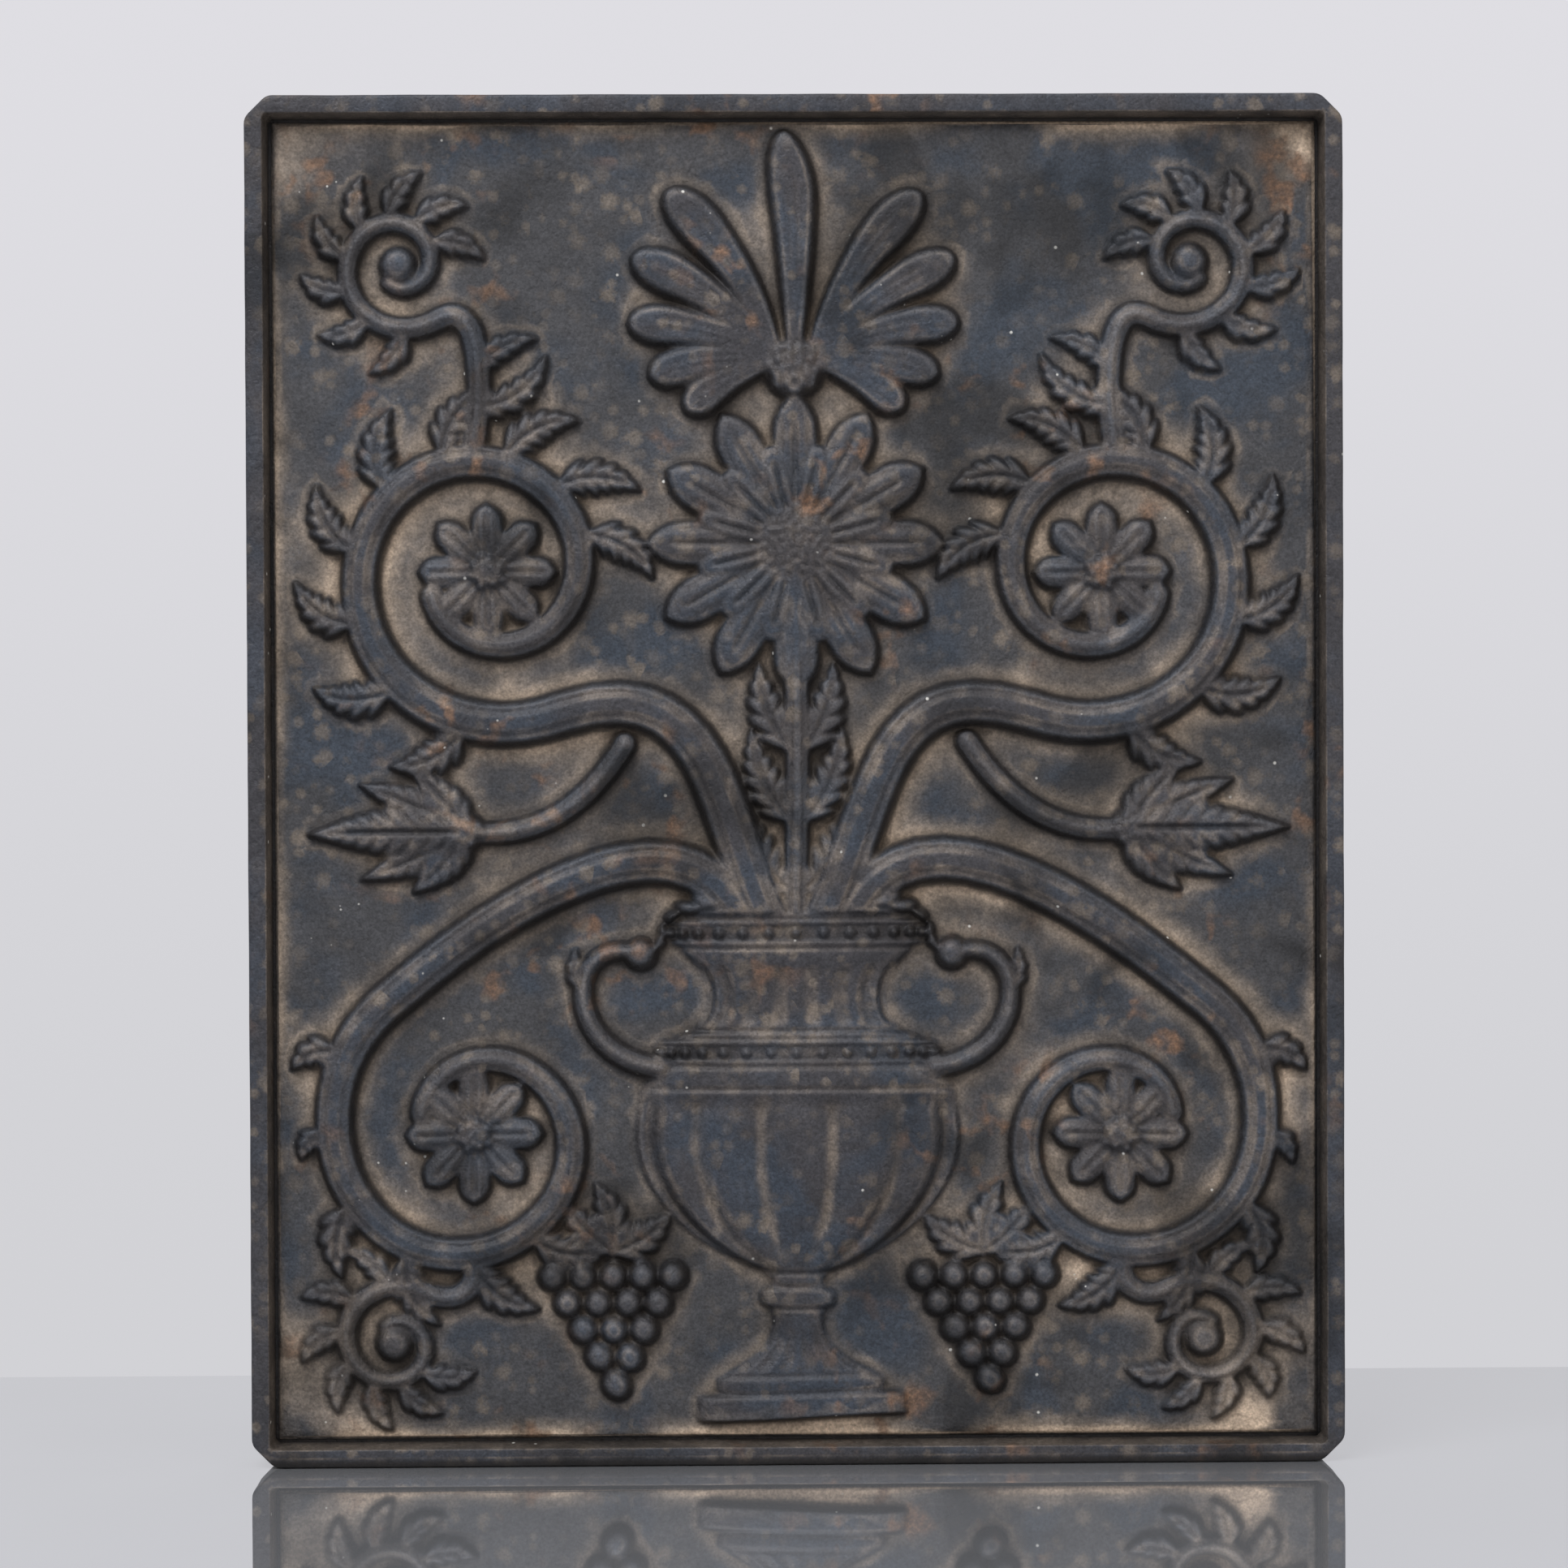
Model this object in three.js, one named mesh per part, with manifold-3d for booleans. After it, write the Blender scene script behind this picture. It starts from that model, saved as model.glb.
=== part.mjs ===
// A cast-iron fireback: a deep one-piece border, a heavy relief plate that is
// dropped in from behind, the clips and bolts that hold it there, and two cast
// feet that swing out on vertical pins so that the plate stands by itself.
// Millimetres, +Z up. The origin is the middle of the border's bottom face,
// which the fireback stands on. The relief looks along -Y.
import * as THREE from "three";
import { mergeVertices } from "three/addons/utils/BufferGeometryUtils.js";
import Module from "manifold-3d";

const wasm = await Module();
wasm.setup();

// ---------------------------------------------------------------- sizes

const SEAT_GAP = 0.3; // between faces that bear on each other
const RUNNING_GAP = 0.3; // round a pin or bolt in its hole
const SINK = 1; // how far a raised form reaches into the metal below it
const FULL_TURN = 2 * Math.PI;

const border = {
  width: 400,
  height: 500,
  depth: 26,
  cornerCut: 8.4, // leg of the cut across each outer corner
  cornerEase: 2.4, // where the rounding at each end of that cut begins
  edgeRound: 1.2,
  faceWidth: 7,
  lipWidth: 9.5, // at the back of the lip, past the draft of its inner wall
  lipDepth: 10,
  wall: 5, // round the rebate behind the lip
};

const plate = {
  sideClearance: 0.5,
  groundDepth: 8.5, // from the border's face back to the ground of the relief
  groove: 1.2, // the dark line between lip and raised field
  fieldEdge: 1.5, // bevel round the raised field
  flangeThickness: 6,
};

const boss = { radius: 10, fromEdge: 20, holeDepth: 11 };
const bolt = { radius: 4, length: 16, acrossFlats: 13, headHeight: 5.3 };
const washer = { radius: 8, thickness: 1.6 };
const clip = { width: 20, thickness: 4, tail: 14, fromEdge: 1, cornerCut: 3 };
const sideClipHeights = [165, 335];

const hinge = {
  fromSide: 60, // pin axis in from the border's side
  behindBorder: 13, // pin axis behind the border's back edge
  pinRadius: 4,
  lugRadius: 11,
  lugHeight: 12,
  lowerLug: 30, // underside of the lower lug
  upperLug: 138, // underside of the upper lug
  headRadius: 7.5,
  headHeight: 5,
  pinBelow: 9, // how far the pin shows under the lower lug
  washerThickness: 1.6,
  stopWidth: 6,
  stopHeight: 20,
};

const splitPin = { radius: 1.3, belowLug: 4.5, eyeRadius: 3.4, past: 6 };

const foot = {
  reach: 118,
  webThickness: 8,
  barrelRadius: 9,
  padLength: 24,
  padWidth: 22,
  padThickness: 6,
  toeHeight: 14,
  toeRound: 6,
  neckFromTop: 4, // from the barrel's top down to the web
  neckFromBottom: 5.5,
  // The bows of the web's edges, in shares of the reach and of each edge's neck.
  underBow: { near: 0.45, dip: 4, far: 0.55, rise: 0.3 },
  overBow: { near: 0.42, high: 0.92, far: 0.62, low: 0.28 },
};

// The relief. Angles are in degrees, counter-clockwise from the right, on the
// right-hand half; the left half is its mirror image. Places are in from the
// field's edges, or across and above from where a form is rooted.
const urn = {
  fromBottom: 8,
  plinthHalf: 38,
  footHalf: 31,
  stemHalf: 9.5,
  knopHalf: 14.5,
  bowlHalf: 60,
  neckHalf: 33,
  lipHalf: 48,
  height: 8.4,
  edgeHeight: 0.36, // share of the height that the narrowest parts keep
  bodyLobes: 5,
  lobeDepth: 1.3,
};

// A handle's levels are shares of the urn's height.
const handle = {
  root: 0.69, bow: 0.71, top: 0.97, tip: 0.92, out: 26, width: 9, tipWidth: 7,
  height: 6.4, knobRadius: 6.5, knobHeight: 7, rootIn: 0.84, knobOut: 9,
};

const upperScroll = {
  fromSide: 77, fromTop: 163, from: -118, turn: 455, outer: 58, inner: 22,
  stem: 19, tip: 9.5, height: 8.2, steps: 26, approach: 60,
  root: 9, bow: { across: 30, above: 42 }, leaves: { from: -80, step: 30, count: 9 },
};
const lowerScroll = {
  fromSide: 71, fromBottom: 110, from: 62, turn: -400, outer: 59, inner: 21,
  stem: 18, tip: 9, height: 7.8, steps: 24, approach: 58,
  root: 17, bow: { across: 40, above: 52 }, leaves: { from: 30, step: -30, count: 6 },
};
const topCurl = {
  fromSide: 45, fromTop: 50, from: -128, turn: 430, outer: 25, inner: 7,
  stem: 10, tip: 6.5, height: 6, steps: 18, approach: 18,
  root: 82, bow: { across: -5, above: 24 }, leaves: { from: -95, step: 35, count: 8 },
};
const bottomCurl = {
  fromSide: 41, fromBottom: 34, from: 128, turn: -425, outer: 23, inner: 7,
  stem: 9.5, tip: 6, height: 5.8, steps: 18, approach: 10,
  root: -88, bow: { across: -5, above: -12 }, leaves: { from: 84, step: -36, count: 7 },
};
const spiralEase = 0.9; // a scroll closes a little faster at its start
const tipHeight = 0.73; // a scroll's height at its tip, as a share of its height

const scrollLeaf = { length: 30, least: 12, width: 15, height: 6, lean: 24, bend: 62 };
const curlLeaf = { length: 20, least: 10, width: 10.5, height: 4.8, lean: 22, bend: 55 };
const leafEdgeGap = 4; // from a leaf's tip to the edge of the field
const leafRoom = 1.3; // a bending leaf's length over the room that it takes

const stalk = { width: 10, height: 7, above: 4, bend: 60 };
const stalkLeaf = {
  across: 3, above: 14, apart: 26, count: 3, heading: 44, turn: 4,
  length: 40, shorter: 3, width: 16, bend: 40, height: 5.8,
};
const mouthLeaf = {
  across: 22, above: 8, heading: 8, length: 36, width: 15, bend: -72, height: 8.4,
};
const twigLeaves = [
  { across: -2, above: 20, heading: 178, length: 34, width: 13, bend: -70, height: 5.6 },
  { across: -2, above: 34, heading: 128, length: 26, width: 11, bend: 50, height: 5.2 },
];

const petal = { from: 0.25, fullness: 0.6, height: 0.75 }; // shares of the flower
const sunflower = { fromTop: 153, radius: 54, petals: 12, height: 8.4, heart: 0.3 };
const scrollFlower = { radius: 25, petals: 8, height: 7.6, heart: 0.3 };
const flowerSpray = {
  fromSide: 68, fromMiddle: -18, length: 58, width: 20, height: 7.6, heart: 8,
  sidePetals: [{ heading: 31, share: 0.73 }, { heading: 62, share: 0.52 }],
  sideWidth: 0.78, sideHeight: 0.8, bend: -0.4,
  root: { across: -50, above: -62 }, rootBow: { across: 12, above: -20 },
  heartBow: { across: -28, above: -4 }, stalkWidth: 9, stalkHeight: 5.6,
};
const palmette = {
  fromTop: 89, length: 84, width: 22, height: 7.4, step: 21, shorter: 9, fronds: 5,
  heading: 93, bend: -30, across: 6, above: 2, sideDrop: 0.6, footRadius: 12, footRise: 1,
};
const grapes = {
  fromMiddle: 68, fromBottom: 58, rows: 5, pitch: 11, rowPitch: 0.87, radius: 5.4,
  height: 7.2, rowDrop: 0.3, leafAbove: 9, leafLength: 26, leafWidth: 15, leafHeight: 5.2,
  leaves: [{ heading: 168, bend: -40 }, { heading: 95, bend: -40 }, { heading: 30, bend: 30 }],
};
const bud = { radius: 7.2, height: 6.4 };

// ---------------------------------------------------------- what follows

const HALF_WIDTH = border.width / 2;
const FRONT = border.depth / 2; // the plate's own frame looks along +z
const BACK = -FRONT;
const GROUND = FRONT - plate.groundDepth;
const LIP_BACK = FRONT - border.lipDepth;
const FLANGE_FRONT = LIP_BACK - SEAT_GAP;
const PLATE_BACK = FLANGE_FRONT - plate.flangeThickness;
const FIELD_INSET = border.lipWidth + plate.groove;
const TOP_INSET = FIELD_INSET + plate.fieldEdge;

const FIELD_HALF = HALF_WIDTH - TOP_INSET;
const FIELD_LOW = TOP_INSET;
const FIELD_HIGH = border.height - TOP_INSET;

const HINGE_X = HALF_WIDTH - hinge.fromSide;
const PIN_Z = BACK - hinge.behindBorder;
const LOWER_LUG_TOP = hinge.lowerLug + hinge.lugHeight;
const UPPER_LUG_TOP = hinge.upperLug + hinge.lugHeight;
const BARREL_LOW = LOWER_LUG_TOP + SEAT_GAP + hinge.washerThickness + SEAT_GAP;
const BARREL_HIGH = hinge.upperLug - SEAT_GAP;
const CLIP_BACK = BACK - SEAT_GAP - clip.thickness;
const WASHER_BACK = CLIP_BACK - SEAT_GAP - washer.thickness;
const HEAD_FRONT = WASHER_BACK - SEAT_GAP;
const PIN_HOLE = hinge.pinRadius + RUNNING_GAP;

const radians = THREE.MathUtils.degToRad;

// ------------------------------------------------------------- materials

function iron(name, colour, roughness) {
  return new THREE.MeshStandardMaterial({ name, color: colour, roughness, metalness: 0.6 });
}

const reliefIron = iron("weathered cast iron", 0x3d3d40, 0.62);
const borderIron = iron("dark cast iron", 0x35353a, 0.58);
const footIron = iron("plain cast iron", 0x38373a, 0.66);
const steel = iron("browned steel", 0x4c443d, 0.5);

// --------------------------------------------------------- solid helpers

function solid(geometry) {
  const bare = geometry.index ? geometry.toNonIndexed() : geometry.clone();
  bare.deleteAttribute("normal");
  bare.deleteAttribute("uv");
  const merged = mergeVertices(bare, 1e-4);
  return new wasm.Manifold(
    new wasm.Mesh({
      numProp: 3,
      vertProperties: merged.attributes.position.array,
      triVerts: new Uint32Array(merged.index.array),
    }),
  );
}

function toGeometry(manifold) {
  const mesh = manifold.getMesh();
  const geometry = new THREE.BufferGeometry();
  geometry.setAttribute("position", new THREE.BufferAttribute(mesh.vertProperties, 3));
  geometry.setIndex(new THREE.BufferAttribute(mesh.triVerts, 1));
  geometry.computeVertexNormals();
  return geometry;
}

const join = (geometries) => wasm.Manifold.union(geometries.map(solid));

// The same form on the other side of the middle, with its faces turned back out.
function mirrored(geometry) {
  const copy = geometry.clone().scale(-1, 1, 1);
  const index = copy.index.array;
  for (let i = 0; i < index.length; i += 3) {
    [index[i + 1], index[i + 2]] = [index[i + 2], index[i + 1]];
  }
  return copy;
}

const bothSides = (geometries) => [...geometries, ...geometries.map(mirrored)];

// A closed skin over rings of points that all have as many points, wound
// counter-clockwise as seen from the end that the rings run towards.
function loft(rings) {
  const count = rings[0].length;
  const positions = rings.flat().flatMap((p) => [p.x, p.y, p.z]);
  const faces = [];
  for (let r = 0; r + 1 < rings.length; r++) {
    for (let k = 0; k < count; k++) {
      const next = (k + 1) % count;
      const [a, b] = [r * count + k, r * count + next];
      const [c, d] = [a + count, b + count];
      faces.push(a, b, d, a, d, c);
    }
  }
  const last = (rings.length - 1) * count;
  for (let k = 1; k + 1 < count; k++) {
    faces.push(0, k + 1, k, last, last + k, last + k + 1);
  }
  const geometry = new THREE.BufferGeometry();
  geometry.setAttribute("position", new THREE.Float32BufferAttribute(positions, 3));
  geometry.setIndex(faces);
  return geometry;
}

function cylinder(radius, low, high, sides = 16) {
  const geometry = new THREE.CylinderGeometry(radius, radius, high - low, sides);
  return geometry.translate(0, (low + high) / 2, 0); // its axis is y
}

// A cylinder along z, from one z to another.
function boring(radius, from, to, x, y, sides = 16) {
  return cylinder(radius, from, to, sides).rotateX(Math.PI / 2).translate(x, y, 0);
}

function box(x0, x1, y0, y1, z0, z1) {
  const geometry = new THREE.BoxGeometry(x1 - x0, y1 - y0, z1 - z0);
  return geometry.translate((x0 + x1) / 2, (y0 + y1) / 2, (z0 + z1) / 2);
}

function extruded(shape, low, high, curveSegments = 6) {
  const geometry = new THREE.ExtrudeGeometry(shape, {
    depth: high - low,
    bevelEnabled: false,
    curveSegments,
  });
  return geometry.translate(0, 0, low);
}

const spread = (from, step, count) => Array.from({ length: count }, (_, k) => from + k * step);

// -------------------------------------------------------------- outlines

// The fireback's outline, drawn in by an inset, with its four corners cut off.
function outline(inset, ease = 0) {
  const right = HALF_WIDTH - inset;
  const low = inset;
  const high = border.height - inset;
  const cut = Math.max(border.cornerCut - (2 - Math.SQRT2) * inset, 0.5);
  const corners = [
    [right - cut, low], [right, low + cut], [right, high - cut], [right - cut, high],
    [cut - right, high], [-right, high - cut], [-right, low + cut], [cut - right, low],
  ].map(([x, y]) => new THREE.Vector2(x, y));
  const shape = new THREE.Shape();
  corners.forEach((corner, k) => {
    const before = corners[(k + 7) % 8];
    const after = corners[(k + 1) % 8];
    const start = corner.clone().add(before.clone().sub(corner).setLength(ease));
    const end = corner.clone().add(after.clone().sub(corner).setLength(ease));
    if (k === 0) shape.moveTo(start.x, start.y);
    else shape.lineTo(start.x, start.y);
    if (ease) shape.quadraticCurveTo(corner.x, corner.y, end.x, end.y);
  });
  shape.closePath();
  return shape;
}

function hole(radius) {
  return new THREE.Path().absarc(0, 0, radius, 0, FULL_TURN, true);
}

function rectangle(inset, z) {
  const x = HALF_WIDTH - inset;
  const high = border.height - inset;
  return [[-x, inset], [x, inset], [x, high], [-x, high]].map(
    ([u, v]) => new THREE.Vector3(u, v, z),
  );
}

// ---------------------------------------------------------------- border

function borderGeometry() {
  const rounded = border.edgeRound;
  const outer = new THREE.ExtrudeGeometry(outline(0, border.cornerEase), {
    depth: border.depth - 2 * rounded,
    bevelThickness: rounded,
    bevelSize: rounded,
    bevelOffset: -rounded,
    bevelSegments: 2,
    curveSegments: 3,
  }).translate(0, 0, BACK + rounded);
  const draft = (border.lipWidth - border.faceWidth) / border.lipDepth;
  const past = 1; // the cutter runs this far past the face and into the rebate
  const opening = loft([
    rectangle(border.lipWidth + draft * past, LIP_BACK - past),
    rectangle(border.faceWidth - draft * past, FRONT + past),
  ]);
  const rebate = extruded(outline(border.wall), BACK - past, LIP_BACK);
  return toGeometry(solid(outer).subtract(solid(opening)).subtract(solid(rebate)));
}

// ---------------------------------------------------------------- relief

// A raised form that follows a path on the ground: a rounded bar, or a leaf with
// a sharp ridge where there is only one point between its edges. Widths and
// heights are functions of the share of the path, from 0 to 1.
function ridge(path, width, height, points) {
  const rings = path.map((p, k) => {
    const before = path[Math.max(k - 1, 0)];
    const after = path[Math.min(k + 1, path.length - 1)];
    const along = after.clone().sub(before).normalize();
    const share = k / (path.length - 1);
    const at = (side, up) =>
      new THREE.Vector3(p.x - along.y * side, p.y + along.x * side, GROUND + up);
    const half = width(share) / 2;
    const top = [];
    for (let i = 0; i <= points + 1; i++) {
      const angle = (Math.PI * i) / (points + 1);
      top.push(at(half * Math.cos(angle), height(share) * Math.sin(angle)));
    }
    return [at(half, -SINK), ...top, at(-half, -SINK)];
  });
  return loft(rings);
}

// A path of equal steps that turns by a bend over its whole length.
function bentPath(base, heading, length, bend, steps) {
  const path = [base.clone()];
  for (let k = 0; k < steps; k++) {
    const angle = radians(heading + (bend * (k + 0.5)) / steps);
    const last = path[path.length - 1];
    const next = new THREE.Vector2(Math.cos(angle), Math.sin(angle));
    path.push(next.multiplyScalar(length / steps).add(last));
  }
  return path;
}

// A pointed leaf, widest before its middle.
function leaf(base, heading, length, width, bend, height) {
  const path = bentPath(base, heading, length, bend, length > 24 ? 3 : 2);
  const swell = (t) => 0.8 + width * Math.sin(Math.PI * (0.08 + 0.92 * t) ** 0.8);
  return ridge(path, swell, (t) => height * (1 - 0.35 * t), 1);
}

// A frond that widens towards a full round end.
function frond(base, heading, length, width, bend, height) {
  const path = bentPath(base, heading, length, bend, 5);
  const roundFrom = 0.7;
  const swell = (t) => {
    const end = Math.max((t - roundFrom) / (1 - roundFrom), 0);
    return 1 + width * (0.25 + 0.75 * t) * Math.sqrt(1 - end ** 2);
  };
  return ridge(path, swell, (t) => height * (0.8 + 0.2 * Math.sin(Math.PI * t)), 1);
}

const moved = (from, { across, above }) => from.clone().add(new THREE.Vector2(across, above));

// A leaf given by its kind, from where it is rooted.
function looseLeaf(root, kind) {
  const { heading, length, width, bend, height } = kind;
  return leaf(moved(root, kind), heading, length, width, bend, height);
}

// A round knob on the ground. Each step up is a share of its radius and height.
const ROUND = [[0.78, 0.65], [0.3, 1]];
const BLUNT = [[0.6, 0.9]];

function dome(centre, radius, height, sides = 8, steps = ROUND) {
  const ring = (share, up) => spread(0, FULL_TURN / sides, sides).map((angle) => {
    const x = centre.x + share * radius * Math.cos(angle);
    const y = centre.y + share * radius * Math.sin(angle);
    return new THREE.Vector3(x, y, GROUND + up);
  });
  return loft([ring(1, -SINK), ring(1, 0), ...steps.map(([share, up]) => ring(share, up * height))]);
}

function flower(centre, size) {
  const made = [dome(centre, size.heart * size.radius, size.height, 10)];
  for (let k = 0; k < size.petals; k++) {
    const angle = (FULL_TURN * k) / size.petals;
    const start = new THREE.Vector2(Math.cos(angle), Math.sin(angle));
    const base = start.multiplyScalar(petal.from * size.radius).add(centre);
    const length = (1 - petal.from) * size.radius;
    const width = (petal.fullness * FULL_TURN * size.radius) / size.petals;
    const heading = THREE.MathUtils.radToDeg(angle);
    made.push(leaf(base, heading, length, width, 0, petal.height * size.height));
  }
  return made;
}

// The middle of a scroll, from the edges of the field.
function middle(s) {
  const y = s.fromTop === undefined ? FIELD_LOW + s.fromBottom : FIELD_HIGH - s.fromTop;
  return new THREE.Vector2(FIELD_HALF - s.fromSide, y);
}

// The point of a scroll's centreline at an angle, moved outwards by an offset.
function onScroll(s, angle, offset = 0) {
  const share = (angle - s.from) / s.turn;
  const radius = s.outer + (s.inner - s.outer) * share ** spiralEase + offset;
  const a = radians(angle);
  return middle(s).add(new THREE.Vector2(radius * Math.cos(a), radius * Math.sin(a)));
}

// A stem that leaves its root, runs into its scroll and winds inwards.
function scroll(s, root, bow) {
  const first = onScroll(s, s.from);
  const winding = [];
  for (let k = 0; k <= s.steps; k++) {
    winding.push(onScroll(s, s.from + (s.turn * k) / s.steps));
  }
  const arrival = winding[1].clone().sub(first).setLength(s.approach);
  const lead = new THREE.CubicBezierCurve(root, bow, first.clone().sub(arrival), first);
  const leadPoints = lead.getPoints(6).slice(0, -1);
  return ridge(
    [...leadPoints, ...winding],
    (t) => s.stem + (s.tip - s.stem) * t,
    (t) => s.height * (1 + (tipHeight - 1) * t),
    2,
  );
}

// Leaves along the outside of a scroll, shorter where the field's edge is near.
function scrollLeaves(s, kind) {
  const way = Math.sign(s.turn);
  return spread(s.leaves.from, s.leaves.step, s.leaves.count).map((angle) => {
    const base = onScroll(s, angle, s.stem / 4);
    const room = Math.min(FIELD_HALF - base.x, FIELD_HIGH - base.y, base.y - FIELD_LOW);
    const free = leafRoom * (room - leafEdgeGap);
    const length = Math.min(kind.length, Math.max(kind.least, free));
    const width = kind.width * Math.sqrt(length / kind.length);
    return leaf(base, angle + way * kind.lean, length, width, way * kind.bend, kind.height);
  });
}

// The urn's half-widths from its plinth up, each with the height that it has.
const URN_LOW = FIELD_LOW + urn.fromBottom;
const urnProfile = [
  [urn.plinthHalf, 0], [urn.plinthHalf, 8], [urn.footHalf, 9], [urn.footHalf, 14],
  [urn.footHalf * 0.77, 18], [urn.stemHalf * 1.26, 27], [urn.stemHalf, 36],
  [urn.knopHalf, 40], [urn.knopHalf, 44], [urn.stemHalf, 48], [urn.stemHalf * 1.47, 52],
  [urn.bowlHalf * 0.6, 63], [urn.bowlHalf * 0.88, 80], [urn.bowlHalf, 102],
  [urn.bowlHalf * 0.97, 118], [urn.bowlHalf * 0.87, 128], [urn.bowlHalf * 0.9, 129],
  [urn.bowlHalf * 0.9, 135], [urn.neckHalf * 1.21, 140], [urn.neckHalf, 150],
  [urn.neckHalf * 1.03, 162], [urn.lipHalf * 0.9, 170], [urn.lipHalf, 173],
  [urn.lipHalf, 179], [urn.lipHalf * 0.88, 183],
];
const URN_HEIGHT = urnProfile.at(-1)[1];
const URN_MOUTH = URN_LOW + URN_HEIGHT - 6; // the stems rise from just inside it
const LOBES = { low: 52, high: 118 };

function urnGeometry() {
  const points = 2 * urn.bodyLobes;
  const rings = urnProfile.map(([half, level]) => {
    const lobed = level > LOBES.low && level < LOBES.high;
    const fullness = half / urn.bowlHalf;
    const peak = urn.height * (urn.edgeHeight + (1 - urn.edgeHeight) * fullness);
    const at = (side, up) => new THREE.Vector3(side, URN_LOW + level, GROUND + up);
    const top = spread(0, Math.PI / points, points + 1).map((angle, k) => {
      const dip = lobed && k % 2 === 0 ? urn.lobeDepth : 0;
      return at(half * Math.cos(angle), (peak - dip) * Math.max(Math.sin(angle), 0) ** 0.8);
    });
    return [at(half, -SINK), ...top, at(-half, -SINK)].reverse();
  });
  return loft(rings);
}

function handleForms() {
  const at = (x, share) => new THREE.Vector2(x, URN_LOW + URN_HEIGHT * share);
  const curve = new THREE.CubicBezierCurve(
    at(urn.bowlHalf * handle.rootIn, handle.root),
    at(urn.bowlHalf + handle.out, handle.bow),
    at(urn.bowlHalf + handle.out, handle.top),
    at(urn.lipHalf + handle.knobOut, handle.tip),
  );
  const width = (t) => handle.width + (handle.tipWidth - handle.width) * t;
  const bar = ridge(curve.getPoints(10), width, () => handle.height, 2);
  return [bar, dome(curve.v3, handle.knobRadius, handle.knobHeight)];
}

function flowerSprayForms() {
  const spray = flowerSpray;
  const heart = new THREE.Vector2(
    FIELD_HALF - spray.fromSide,
    border.height / 2 + spray.fromMiddle,
  );
  const root = moved(middle(upperScroll), spray.root);
  const stem = new THREE.CubicBezierCurve(
    root,
    moved(root, spray.rootBow),
    moved(heart, spray.heartBow),
    heart,
  );
  const sidePetals = [-1, 1].flatMap((side) => spray.sidePetals.map(({ heading, share }) => {
    const [length, width] = [share * spray.length, spray.sideWidth * spray.width];
    const turn = side * heading;
    return leaf(heart, turn, length, width, spray.bend * turn, spray.sideHeight * spray.height);
  }));
  return [
    ridge(stem.getPoints(7), () => spray.stalkWidth, () => spray.stalkHeight, 2),
    ...sidePetals,
    leaf(heart, 0, spray.length, spray.width, 0, spray.height),
    dome(heart, spray.heart, spray.height),
  ];
}

const palmetteFoot = () => new THREE.Vector2(0, FIELD_HIGH - palmette.fromTop);

function sideFronds() {
  const base = moved(palmetteFoot(), palmette);
  return spread(1, 1, palmette.fronds).map((k) => {
    const length = palmette.length - palmette.shorter * k;
    const heading = palmette.heading - palmette.step * k;
    const height = palmette.height - palmette.sideDrop;
    return frond(base, heading, length, palmette.width - k, palmette.bend, height);
  });
}

function middleFrond() {
  const { length, width, height, footRadius, footRise } = palmette;
  return [
    frond(palmetteFoot(), 90, length, width, 0, height),
    dome(palmetteFoot(), footRadius, height + footRise, 12),
  ];
}

function grapeBunch() {
  const top = new THREE.Vector2(grapes.fromMiddle, FIELD_LOW + grapes.fromBottom);
  const base = moved(top, { across: 0, above: grapes.leafAbove });
  const made = grapes.leaves.map(({ heading, bend }) =>
    leaf(base, heading, grapes.leafLength, grapes.leafWidth, bend, grapes.leafHeight));
  for (let row = 0; row < grapes.rows; row++) {
    const inRow = grapes.rows - row;
    for (let k = 0; k < inRow; k++) {
      const across = (k - (inRow - 1) / 2) * grapes.pitch;
      const above = -row * grapes.pitch * grapes.rowPitch;
      const height = grapes.height - grapes.rowDrop * row;
      made.push(dome(moved(top, { across, above }), grapes.radius, height, 6, BLUNT));
    }
  }
  return made;
}

function stalkLeaves() {
  const { across, above, apart, heading, turn, length, shorter } = stalkLeaf;
  return spread(0, 1, stalkLeaf.count).map((k) => {
    const base = new THREE.Vector2(across, URN_MOUTH + above + apart * k);
    const own = [heading + turn * k, length - shorter * k];
    return leaf(base, ...own, stalkLeaf.width, stalkLeaf.bend, stalkLeaf.height);
  });
}

function reliefForms() {
  const mouth = new THREE.Vector2(0, URN_MOUTH);
  const fromMouth = (s) => {
    return scroll(s, new THREE.Vector2(s.root, URN_MOUTH), moved(mouth, s.bow));
  };
  const fromScroll = (s, parent) => {
    const root = onScroll(parent, s.root);
    return scroll(s, root, moved(root, s.bow));
  };
  const twig = onScroll(upperScroll, topCurl.root);
  const rightHalf = [
    fromMouth(upperScroll),
    fromMouth(lowerScroll),
    fromScroll(topCurl, upperScroll),
    fromScroll(bottomCurl, lowerScroll),
    ...scrollLeaves(upperScroll, scrollLeaf),
    ...scrollLeaves(lowerScroll, scrollLeaf),
    ...scrollLeaves(topCurl, curlLeaf),
    ...scrollLeaves(bottomCurl, curlLeaf),
    ...flower(middle(upperScroll), scrollFlower),
    ...flower(middle(lowerScroll), scrollFlower),
    dome(middle(topCurl), bud.radius, bud.height),
    dome(middle(bottomCurl), bud.radius, bud.height),
    ...handleForms(),
    ...flowerSprayForms(),
    ...grapeBunch(),
    ...stalkLeaves(),
    looseLeaf(mouth, mouthLeaf),
    ...twigLeaves.map((kind) => looseLeaf(twig, kind)),
    ...sideFronds(),
  ];
  const heart = new THREE.Vector2(0, FIELD_HIGH - sunflower.fromTop);
  const up = (above) => moved(mouth, { across: 0, above });
  return [
    ...bothSides(rightHalf),
    urnGeometry(),
    ridge([up(stalk.above), up(stalk.bend), heart], () => stalk.width, () => stalk.height, 3),
    ...flower(heart, sunflower),
    ...middleFrond(),
  ];
}

// ----------------------------------------------------------- relief plate

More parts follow.
